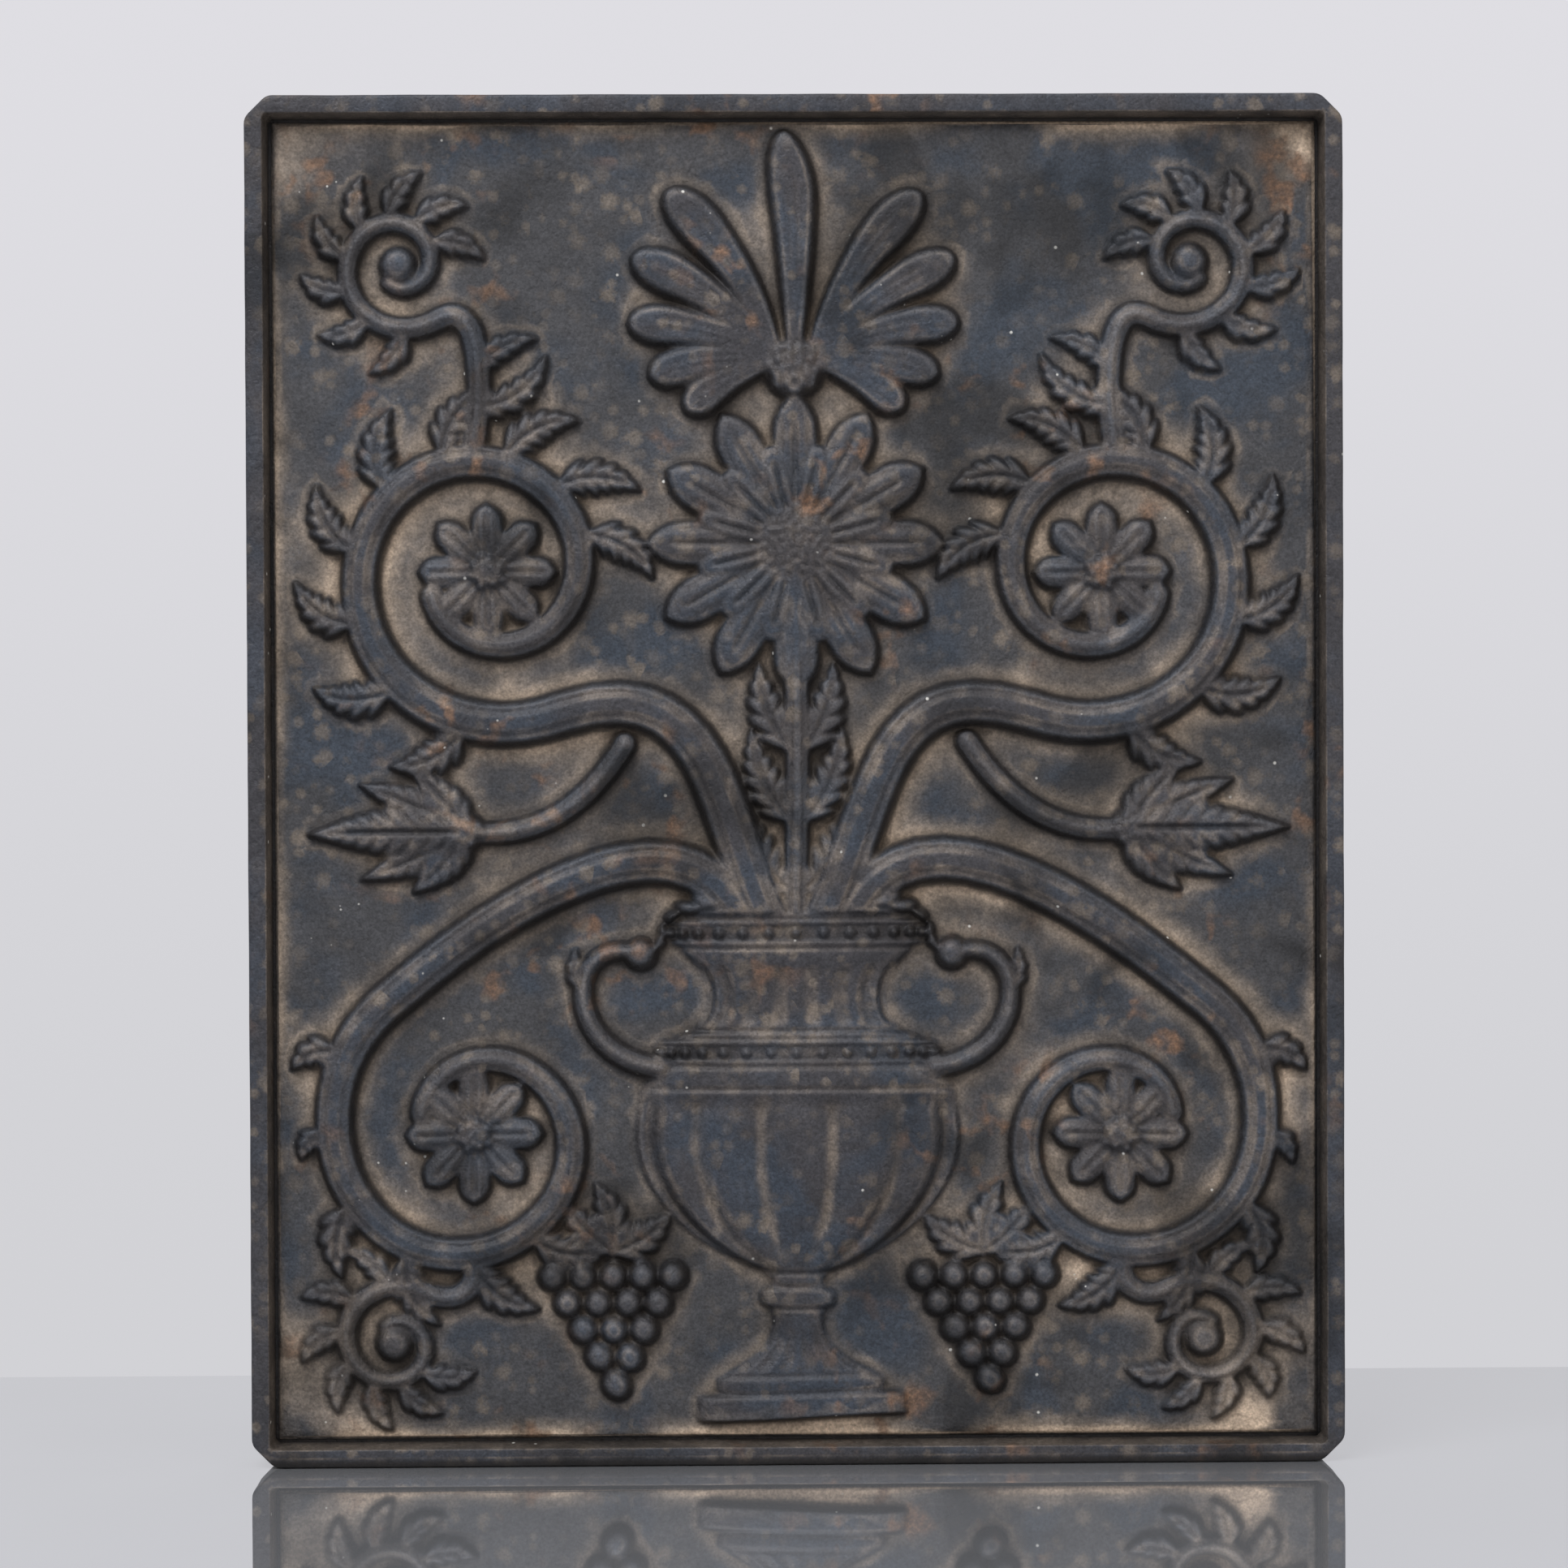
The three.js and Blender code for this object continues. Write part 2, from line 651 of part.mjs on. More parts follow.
function clipPlaces() {
  const side = HALF_WIDTH - boss.fromEdge;
  const high = border.height - boss.fromEdge;
  return [
    { name: "top", x: 0, y: high, turn: Math.PI / 2 },
    { name: "bottom", x: 0, y: boss.fromEdge, turn: -Math.PI / 2 },
    ...["lower", "upper"].flatMap((level, k) => [
      { name: `right_${level}`, x: side, y: sideClipHeights[k], turn: 0 },
      { name: `left_${level}`, x: -side, y: sideClipHeights[k], turn: Math.PI },
    ]),
  ];
}

// One lug on the back of the plate, with a rounded end behind the pin.
function lug(low, high) {
  const shape = new THREE.Shape();
  shape.moveTo(hinge.lugRadius, PLATE_BACK + SINK);
  shape.lineTo(-hinge.lugRadius, PLATE_BACK + SINK);
  shape.lineTo(-hinge.lugRadius, PIN_Z);
  shape.absarc(0, PIN_Z, hinge.lugRadius, Math.PI, FULL_TURN);
  shape.closePath();
  // The shape is drawn in x and z, and stands up along y.
  return extruded(shape, -high, -low).rotateX(Math.PI / 2);
}

// The stop that an open foot's web leans on, on the outer side of the lower lug.
function stop() {
  const inner = foot.webThickness / 2 + SEAT_GAP;
  const outer = inner + hinge.stopWidth;
  const rear = PIN_Z - foot.barrelRadius - hinge.stopWidth;
  const top = LOWER_LUG_TOP + hinge.stopHeight;
  return [
    box(inner, outer, hinge.lowerLug, top, rear, rear + hinge.stopWidth - SEAT_GAP),
    box(0, outer, hinge.lowerLug, LOWER_LUG_TOP, rear, PIN_Z),
  ];
}

function reliefPlateGeometry() {
  const flange = extruded(outline(border.wall + plate.sideClearance), PLATE_BACK, FLANGE_FRONT);
  const field = loft([
    rectangle(FIELD_INSET, PLATE_BACK + SINK),
    rectangle(FIELD_INSET, GROUND - plate.fieldEdge),
    rectangle(TOP_INSET, GROUND),
  ]);
  const reach = 4 * urn.height; // the trim stands well clear of every raised form
  const trim = box(-FIELD_HALF, FIELD_HALF, FIELD_LOW, FIELD_HIGH, GROUND - 2 * SINK, FRONT + reach);
  const places = clipPlaces();
  const bosses = places.map((p) => boring(boss.radius, BACK, PLATE_BACK + SINK, p.x, p.y));
  const lugs = [-1, 1].flatMap((side) => {
    const parts = [
      lug(hinge.lowerLug, LOWER_LUG_TOP),
      lug(hinge.upperLug, UPPER_LUG_TOP),
      ...stop(),
    ];
    const own = side > 0 ? parts : parts.map((g) => mirrored(mergeVertices(g)));
    return own.map((g) => g.translate(side * HINGE_X, 0, 0));
  });
  const holes = [
    ...places.map((p) =>
      boring(bolt.radius + RUNNING_GAP, BACK - SINK, BACK + boss.holeDepth, p.x, p.y)),
    ...[-1, 1].map((side) =>
      cylinder(PIN_HOLE, 0, border.height).translate(side * HINGE_X, 0, PIN_Z)),
  ];
  const forms = join(reliefForms()).intersect(solid(trim));
  const body = join([flange, field, ...bosses, ...lugs]).add(forms);
  return toGeometry(body.subtract(join(holes)));
}

// ----------------------------------------------------------- fixings

// A clip lies on a boss and reaches out over the border's back edge.
function clipGeometry() {
  const inner = -clip.tail;
  const outer = boss.fromEdge - clip.fromEdge;
  const half = clip.width / 2;
  const cut = clip.cornerCut;
  const shape = new THREE.Shape([
    [inner + cut, -half], [outer - cut, -half], [outer, cut - half], [outer, half - cut],
    [outer - cut, half], [inner + cut, half], [inner, half - cut], [inner, cut - half],
  ].map(([x, y]) => new THREE.Vector2(x, y)));
  shape.holes.push(hole(bolt.radius + RUNNING_GAP));
  return extruded(shape, CLIP_BACK, CLIP_BACK + clip.thickness, 8);
}

function ringGeometry(inner, outer, thickness) {
  const shape = new THREE.Shape();
  shape.absarc(0, 0, outer, 0, FULL_TURN);
  shape.holes.push(hole(inner));
  return extruded(shape, 0, thickness, 8);
}

function boltGeometry() {
  const corner = bolt.acrossFlats / Math.sqrt(3);
  const head = boring(corner, HEAD_FRONT - bolt.headHeight, HEAD_FRONT, 0, 0, 6);
  const shank = boring(bolt.radius, HEAD_FRONT - SINK, HEAD_FRONT + bolt.length, 0, 0, 16);
  return toGeometry(join([head, shank]));
}

// -------------------------------------------------------------- feet

// One cast foot, open: its barrel stands on the pin and its web runs back.
function footGeometry() {
  const r = foot.reach;
  const high = BARREL_HIGH - foot.neckFromTop;
  const low = BARREL_LOW + foot.neckFromBottom;
  const toe = r - foot.padLength;
  const { underBow: under, overBow: over, toeHeight, toeRound, barrelRadius } = foot;
  const web = new THREE.Shape();
  web.moveTo(0, low);
  web.lineTo(barrelRadius, low);
  web.bezierCurveTo(under.near * r, low - under.dip, under.far * r, under.rise * low, toe, 0);
  web.lineTo(r, 0);
  web.lineTo(r, toeHeight - toeRound);
  web.quadraticCurveTo(r, toeHeight, r - toeRound, toeHeight);
  web.bezierCurveTo(over.far * r, over.low * high, over.near * r, over.high * high, barrelRadius, high);
  web.lineTo(0, high);
  web.closePath();
  const half = foot.webThickness / 2;
  const pad = box(-foot.padWidth / 2, foot.padWidth / 2, 0, foot.padThickness, -r, -toe);
  const body = join([
    extruded(web, -half, half, 10).rotateY(Math.PI / 2),
    cylinder(foot.barrelRadius, BARREL_LOW, BARREL_HIGH, 24),
    pad,
  ]);
  const bore = cylinder(PIN_HOLE, 0, border.height);
  return toGeometry(body.subtract(solid(bore)));
}

function hingePinGeometry() {
  const seat = UPPER_LUG_TOP + SEAT_GAP;
  const pin = cylinder(hinge.pinRadius, hinge.lowerLug - hinge.pinBelow, seat + SINK);
  const head = cylinder(hinge.headRadius, seat, seat + hinge.headHeight);
  const cross = cylinder(splitPin.radius + RUNNING_GAP, -border.depth, border.depth, 12);
  cross.rotateZ(Math.PI / 2).translate(0, hinge.lowerLug - splitPin.belowLug, 0);
  return toGeometry(join([pin, head]).subtract(solid(cross)));
}

// A split pin across the hinge pin: its eye on one side, its bent legs past the other.
function splitPinGeometry() {
  const end = hinge.pinRadius + splitPin.past;
  const shank = cylinder(splitPin.radius, -end, end, 8).rotateZ(Math.PI / 2);
  const eye = new THREE.TorusGeometry(splitPin.eyeRadius, splitPin.radius, 6, 12);
  eye.rotateX(Math.PI / 2).translate(end + splitPin.eyeRadius, 0, 0);
  const leg = cylinder(splitPin.radius, 0, splitPin.past, 8).rotateX(-Math.PI / 2);
  leg.translate(-end, 0, 0);
  return toGeometry(join([shank, eye, leg]));
}

// ---------------------------------------------------------------- scene

// Everything is built looking along +z with +y up, and this group stands it up.
const fireback = new THREE.Group();
const upright = new THREE.Group();
upright.rotation.x = Math.PI / 2;
fireback.add(upright);

function place(name, geometry, material, x = 0, y = 0, z = 0, turn = 0) {
  const mesh = new THREE.Mesh(geometry, material);
  mesh.name = name;
  mesh.position.set(x, y, z);
  mesh.rotation.z = turn;
  upright.add(mesh);
  return mesh;
}

place("border_frame", borderGeometry(), borderIron);
place("relief_plate", reliefPlateGeometry(), reliefIron);

const clipShape = clipGeometry();
const clipWasher = ringGeometry(bolt.radius + RUNNING_GAP, washer.radius, washer.thickness);
const clipBolt = boltGeometry();
for (const { name, x, y, turn } of clipPlaces()) {
  place(`clip_${name}`, clipShape, steel, x, y, 0, turn);
  place(`clip_washer_${name}`, clipWasher, steel, x, y, WASHER_BACK);
  place(`clip_bolt_${name}`, clipBolt, steel, x, y);
}

const footShape = footGeometry();
const hingePin = hingePinGeometry();
const split = splitPinGeometry();
const thrustWasher = ringGeometry(PIN_HOLE, foot.barrelRadius, hinge.washerThickness);
thrustWasher.rotateX(-Math.PI / 2);
for (const [side, sign] of [["left", -1], ["right", 1]]) {
  const x = sign * HINGE_X;
  const pinMiddle = hinge.lowerLug - splitPin.belowLug;
  place(`foot_${side}`, footShape, footIron, x, 0, PIN_Z);
  place(`hinge_pin_${side}`, hingePin, steel, x, 0, PIN_Z);
  place(`thrust_washer_${side}`, thrustWasher, steel, x, LOWER_LUG_TOP + SEAT_GAP, PIN_Z);
  place(`split_pin_${side}`, sign > 0 ? split : mirrored(split), steel, x, pinMiddle, PIN_Z);
}

export default fireback;
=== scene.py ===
"""A cast-iron fireback: a relief plate in a deep border, held by clips, on two folding feet.

Metres, +Z up, the relief looking along -Y, the origin in the middle of the
border's bottom face. The relief is worked out in millimetres as a field of
heights, as a pattern maker would carve it, and becomes a mesh at the end.
"""

import math

import bmesh
import bpy
import numpy as np
from bpy.props import FloatProperty, FloatVectorProperty, IntProperty, PointerProperty
from mathutils import Matrix, Vector


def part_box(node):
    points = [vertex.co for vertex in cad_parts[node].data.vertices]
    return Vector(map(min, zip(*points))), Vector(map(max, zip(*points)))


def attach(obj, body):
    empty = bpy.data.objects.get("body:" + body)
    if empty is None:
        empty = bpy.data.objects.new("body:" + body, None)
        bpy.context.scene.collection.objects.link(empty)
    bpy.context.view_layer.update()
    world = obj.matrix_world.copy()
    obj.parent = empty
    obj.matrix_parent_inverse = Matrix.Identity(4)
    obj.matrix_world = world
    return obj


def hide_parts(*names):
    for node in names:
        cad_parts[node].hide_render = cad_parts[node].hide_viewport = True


bl_info = {
    "name": "Cast-Iron Fireback",
    "version": (1, 0, 0),
    "blender": (4, 5, 0),
    "location": "View3D > Sidebar > Fireback",
    "description": "Builds a cast-iron fireback with its relief, border, fixings and folding feet",
    "category": "Add Mesh",
}

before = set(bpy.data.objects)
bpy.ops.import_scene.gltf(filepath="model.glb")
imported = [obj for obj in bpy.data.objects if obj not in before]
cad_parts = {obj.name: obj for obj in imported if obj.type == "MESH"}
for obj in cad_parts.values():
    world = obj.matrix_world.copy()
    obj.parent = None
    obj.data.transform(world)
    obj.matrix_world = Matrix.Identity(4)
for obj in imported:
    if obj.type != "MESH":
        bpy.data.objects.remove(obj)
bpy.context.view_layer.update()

MM = 0.001

# ------------------------------------------------------ places from the frame


def box_mm(node):
    """A node's lowest and highest corners, in millimetres."""
    low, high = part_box(node)
    return low / MM, high / MM


BORDER_LOW, BORDER_HIGH = box_mm("border_frame")
HALF_WIDTH = BORDER_HIGH.x
HEIGHT = BORDER_HIGH.z
FACE = -BORDER_LOW.y  # the border's face in front of the middle plane
BACK = BORDER_HIGH.y

CLIP_NAMES = ("top", "bottom", "right_lower", "right_upper", "left_lower", "left_upper")
SIDES = {"left": -1, "right": 1}

SUNK = 0.6  # how far a boss or a lug reaches into the plate, so that they are one casting
SEAT_GAP = 0.3  # between the border's lip and the plate's flange
HINGE_GAP = 0.3  # between the parts of a hinge
ABOVE_LUGS, ABOVE_BARREL = 160, 200  # where the drills for the hinge's bores end
TO_REAR = Matrix.Rotation(math.radians(-90), 4, "X")  # turns a part's own +Z to the rear


def linear(hex_colour):
    """An sRGB hex colour as linear red, green, blue and full alpha."""
    channels = [int(hex_colour[k : k + 2], 16) / 255 for k in (1, 3, 5)]
    lit = [c / 12.92 if c <= 0.04045 else ((c + 0.055) / 1.055) ** 2.4 for c in channels]
    return (*lit, 1.0)


# ------------------------------------------------------------------- settings


def length(name, description, millimetres):
    return FloatProperty(
        name=name, description=description, default=millimetres * MM, min=0.0, unit="LENGTH"
    )


def colour(name, description, hex_colour):
    return FloatVectorProperty(
        name=name,
        description=description,
        default=linear(hex_colour),
        size=4,
        subtype="COLOR",
        min=0.0,
        max=1.0,
    )


class BorderSettings(bpy.types.PropertyGroup):
    corner_cut: length("Corner Cut", "Leg of the cut across each outer corner", 8.4)
    inner_corner: length("Inner Corner", "Rounding of the corners inside the border", 1.2)
    corner_ease: length("Corner Ease", "Where the rounding at each end of a cut begins", 2.4)
    edge_round: length("Edge Round", "Radius of the outer edges", 1.7)
    inner_round: length("Inner Round", "Radius where the face meets the sloping wall", 1.0)
    face_width: length("Face Width", "Width of the flat face", 7)
    lip_width: length("Lip Width", "Width at the back of the sloping inner wall", 8.4)
    lip_depth: length("Lip Depth", "Depth of the inner wall", 10)
    wall: length("Wall", "Thickness round the rebate behind the lip", 5)
    spacing: length("Spacing", "Between the points along the border", 3.5)
    unevenness: length("Unevenness", "How far the cast faces dip in", 0.5)
    ripple: length("Ripple", "Distance between the dips of the cast faces", 26)


class ReliefSettings(bpy.types.PropertyGroup):
    ground_depth: length("Ground Depth", "From the border's face back to the ground", 8.5)
    groove: length("Groove", "Dark line between the lip and the relief plate", 0.8)
    field_edge: length("Field Edge", "Bevel round the raised field", 1.5)
    grid: length("Grid", "Spacing of the carved field of heights", 0.55)
    softness: length("Softness", "How far casting has softened the carved edges", 0.5)
    hand: length("Hand", "How far the carver's hand strays from the drawing", 1.0)
    undulation: length("Undulation", "Slow rise and fall of the ground", 0.3)
    flange: length("Flange", "Thickness of the flange behind the lip", 6)
    side_clearance: length("Side Clearance", "Round the flange in the border's rebate", 0.5)
    boss_radius: length("Boss Radius", "Radius of the cast bosses behind the plate", 10)
    triangles: IntProperty(
        name="Triangles", description="Triangles that the carving keeps", default=190000, min=1000
    )


class FixingSettings(bpy.types.PropertyGroup):
    clip_thickness: length("Clip Thickness", "Thickness of a clip", 4)
    clip_cut: length("Clip Corner Cut", "Leg of the cut at a clip's corners", 3)
    clip_past_bolt: length("Clip Reach", "From a clip's bolt to its outer end", 19)
    across_flats: length("Across Flats", "Size of a clip bolt's hexagon", 13)
    head_height: length("Head Height", "Height of a clip bolt's head", 5.3)
    bolt_radius: length("Bolt Radius", "Radius of a clip bolt's shank", 4)
    hole_gap: length("Hole Gap", "Round a bolt or a pin in its hole", 0.3)
    washer_radius: length("Washer Radius", "Outer radius of a clip washer", 8)
    washer_thickness: length("Washer Thickness", "Thickness of the washers", 1.6)


class FootSettings(bpy.types.PropertyGroup):
    web_thickness: length("Web Thickness", "Thickness of a foot's web", 8)
    barrel_radius: length("Barrel Radius", "Radius of the barrel round the hinge pin", 9)
    pad_length: length("Pad Length", "Length of the pad at the toe", 24)
    pad_thickness: length("Pad Thickness", "Thickness of the pad at the toe", 6)
    toe_height: length("Toe Height", "Height of the web over the pad", 14)
    toe_round: length("Toe Round", "Radius of the web at the toe", 6)
    pin_radius: length("Pin Radius", "Radius of the hinge pins", 4)
    head_radius: length("Pin Head Radius", "Radius of a hinge pin's head", 7.5)
    lug_radius: length("Lug Radius", "Radius of the hinge lugs", 11)
    lug_height: length("Lug Height", "Height of each hinge lug", 12)
    wire_radius: length("Split Pin Wire", "Radius of a split pin's wire", 0.7)
    blend: length("Blend", "Size of the steps that a casting is blended with", 0.8)


class FinishSettings(bpy.types.PropertyGroup):
    iron: colour("Iron", "Blackened iron on the raised forms", "#3d3c3f")
    iron_blue: colour("Blue Iron", "Cooler patches of the iron's skin", "#36404c")
    ground: colour("Ground Iron", "Greyer iron on the open ground", "#454547")
    stain: colour("Stain", "Soft brown spots in the iron's skin", "#7b7064")
    rust: colour("Rust", "Brown rust", "#765d4b")
    rust_fresh: colour("Fresh Rust", "The brightest rust", "#8d6a50")
    dust: colour("Dust", "Dry dust beside the raised forms", "#998a7a")
    dust_pale: colour("Pale Dust", "The thickest dust, in closed hollows", "#d2bba3")
    # Soot and painted shade: it darkens the steep sides, the grooves, the recesses and the gaps.
    crease: colour("Soot", "Soot on the steep sides and in the grooves", "#1a1613")
    worn: colour("Rubbed Iron", "Iron rubbed on the highest edges", "#66696f")
    speck: colour("Speck", "Small pale specks", "#d8d6cf")
    steel: colour("Steel", "Browned steel of the fixings", "#5a534e")
    steel_worn: colour("Worn Steel", "Bare steel on the corners of the fixings", "#9c9893")


class StageSettings(bpy.types.PropertyGroup):
    table: colour("Table", "Glossy pale table", "#c6c8cc")
    wall: colour("Wall", "Upper part of the backdrop", "#dfdee3")
    # Painted shade: the backdrop is darker towards its bottom.
    wall_low: colour("Lower Wall", "Lower part of the backdrop", "#d2d2d6")
    table_back: length("Table Back", "From the middle plane to the table's back edge", 204)
    wall_back: length("Wall Back", "From the middle plane to the backdrop", 900)
    distance: length("Camera Distance", "From the middle plane to the camera", 1500)
    focal: FloatProperty(
        name="Focal Length",
        description="Focal length on a 36 mm frame",
        default=93.8,
        subtype="DISTANCE_CAMERA",
    )
    seed: IntProperty(name="Seed", description="Seed of everything random", default=7, min=0)


GROUPS = {
    "fireback_border": BorderSettings,
    "fireback_relief": ReliefSettings,
    "fireback_fixings": FixingSettings,
    "fireback_feet": FootSettings,
    "fireback_finish": FinishSettings,
    "fireback_stage": StageSettings,
}


class Sizes:
    """One group of settings with its lengths read in millimetres."""

    def __init__(self, group):
        self.group = getattr(bpy.context.scene, group)

    def __getattr__(self, name):
        value = getattr(self.group, name)
        unit = self.group.bl_rna.properties[name].unit
        return value / MM if unit == "LENGTH" else value


# --------------------------------------------------------------- mesh helpers


def new_object(name, data):
    made = bpy.data.objects.new(name, data)
    bpy.context.scene.collection.objects.link(made)
    return made


def mesh_object(name, vertices, faces=()):
    """A mesh object at the origin, from vertices in millimetres."""
    mesh = bpy.data.meshes.new(name)
    mesh.from_pydata([[c * MM for c in v] for v in vertices], (), faces)
    mesh.update()
    return new_object(name, mesh)


def close_up(obj):
    """Merges doubled vertices and turns every face outwards."""
    bm = bmesh.new()
    bm.from_mesh(obj.data)
    bmesh.ops.remove_doubles(bm, verts=bm.verts, dist=0.001 * MM)
    bmesh.ops.recalc_face_normals(bm, faces=bm.faces)
    bm.to_mesh(obj.data)
    bm.free()
    return obj


def shade(obj, degrees):
    """Smooth faces, with an edge kept wherever they meet at more than an angle."""
    obj.data.shade_smooth()
    obj.data.set_sharp_from_angle(angle=math.radians(degrees))
    return obj


def final_mesh(obj):
    """A plain mesh of what an object shows, with its modifiers or its curve worked out."""
    bpy.context.view_layer.update()
    evaluated = obj.evaluated_get(bpy.context.evaluated_depsgraph_get())
    return bpy.data.meshes.new_from_object(evaluated)


def baked(obj):
    """The object with its modifiers removed and their result as its mesh."""
    mesh = final_mesh(obj)
    mesh.name = obj.name
    obj.modifiers.clear()
    obj.data = mesh
    return obj


def finish_piece(obj, body, slot, material, *nodes):
    """Gives a finished piece its material and its body, and hides the nodes that it stands for."""
    obj.data.materials.clear()
    obj.data.materials.append(material)
    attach(obj, body)
    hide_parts(*nodes)
    return obj


def skinned(name, loops, ring=True):
    """A skin over loops of equally many points. It closes on itself in a ring, or is capped."""
    count = len(loops[0])
    vertices = [point for loop in loops for point in loop]
    faces = []
    pairs = len(loops) if ring else len(loops) - 1
    for a in range(pairs):
        b = (a + 1) % len(loops)
        for k in range(count):
            n = (k + 1) % count
            faces.append((a * count + k, a * count + n, b * count + n, b * count + k))
    if not ring:
        faces.append(tuple(range(count)))
        faces.append(tuple(range((len(loops) - 1) * count, len(loops) * count)))
    return close_up(mesh_object(name, vertices, faces))


def arc(x, y, radius, start, end, steps):
    """Points of an arc, with its angles in degrees."""
    angles = np.radians(np.linspace(start, end, steps + 1))
    return [(x + radius * math.cos(a), y + radius * math.sin(a)) for a in angles]


def turned(name, profile, sides=40):
    """Turns a profile of (radius, height) about Z. It starts and ends on the axis, or closes."""
    angles = [2 * math.pi * k / sides for k in range(sides)]
    loops = [[(r * math.cos(a), r * math.sin(a), z) for a in angles] for r, z in profile]
    on_axis = min(r for r, _ in profile) < 0.001
    return skinned(name, loops, ring=not on_axis)


def ring_profile(inner, outer, low, high, edge):
    """The closed section of a ring with its four edges rounded."""
    return [
        *arc(outer - edge, low + edge, edge, -90, 0, 3),
        *arc(outer - edge, high - edge, edge, 0, 90, 3),
        *arc(inner + edge, high - edge, edge, 90, 180, 3),
        *arc(inner + edge, low + edge, edge, 180, 270, 3),
    ]


def moved(obj, matrix):
    obj.data.transform(matrix)
    obj.data.update()
    return obj


def shifted(obj, x, y):
    return moved(obj, Matrix.Translation((x * MM, y * MM, 0)))


def to_side(obj, side, x, y):
    """Moves a part of the right-hand hinge to its side, as its mirror image on the left."""
    if side < 0:
        moved(obj, Matrix.Scale(-1, 4, (1, 0, 0)))
        close_up(obj)
    return shifted(obj, side * x, y)


def joined(name, parts):
    """Several objects as one mesh."""
    bm = bmesh.new()
    for part in parts:
        bm.from_mesh(part.data)
        bpy.data.objects.remove(part)
    mesh = bpy.data.meshes.new(name)
    bm.to_mesh(mesh)
    bm.free()
    return new_object(name, mesh)


def plank(name, outline, low, high):
    """An outline in x and y, raised along z."""
    return skinned(name, [[(x, y, z) for x, y in outline] for z in (low, high)], ring=False)


def blended(obj, voxel, passes):
    """Blends overlapping solids into one casting with soft edges."""
    remesh = obj.modifiers.new("Blend", "REMESH")
    remesh.mode = "VOXEL"
    remesh.voxel_size = voxel * MM
    smooth = obj.modifiers.new("Soften", "SMOOTH")
    smooth.factor = 0.5
    smooth.iterations = passes
    return close_up(baked(obj))


def rounded(obj, width, segments):
    """Rounds the sharp edges."""
    bevel = obj.modifiers.new("Round", "BEVEL")
    bevel.width = width * MM
    bevel.segments = segments
    bevel.limit_method = "ANGLE"
    bevel.angle_limit = math.radians(40)
    return baked(obj)


def combined(base, other, operation):
    """A closed solid with another joined to it or taken out of it."""
    boolean = base.modifiers.new("Combine", "BOOLEAN")
    boolean.operation = operation
    boolean.solver = "MANIFOLD"
    boolean.object = other
    baked(base)
    bpy.data.objects.remove(other)
    return base


def drilled(base, radius, low, high, sides, y=0):
    """A closed solid with a round hole through it along Z."""
    rim = [(0, low), (radius, low), (radius, high), (0, high)]
    return combined(base, shifted(turned("bore", rim, sides), 0, y), "DIFFERENCE")


def store(obj, name, values):
    """Stores a number for each vertex, or one for them all, for the materials."""
    attribute = obj.data.attributes.new(name, "FLOAT", "POINT")
    attribute.data.foreach_set("value", np.full(len(obj.data.vertices), values, np.float32))


def positions(obj):
    """The vertices in millimetres, as rows of x, y and z."""
    flat = np.empty(3 * len(obj.data.vertices), np.float32)
    obj.data.vertices.foreach_get("co", flat)
    return flat.reshape(-1, 3) / MM


# ----------------------------------------------------------------------- nodes

# What the castings keep at each vertex for their material.
MARKS = ("dust", "crease", "wear", "low")

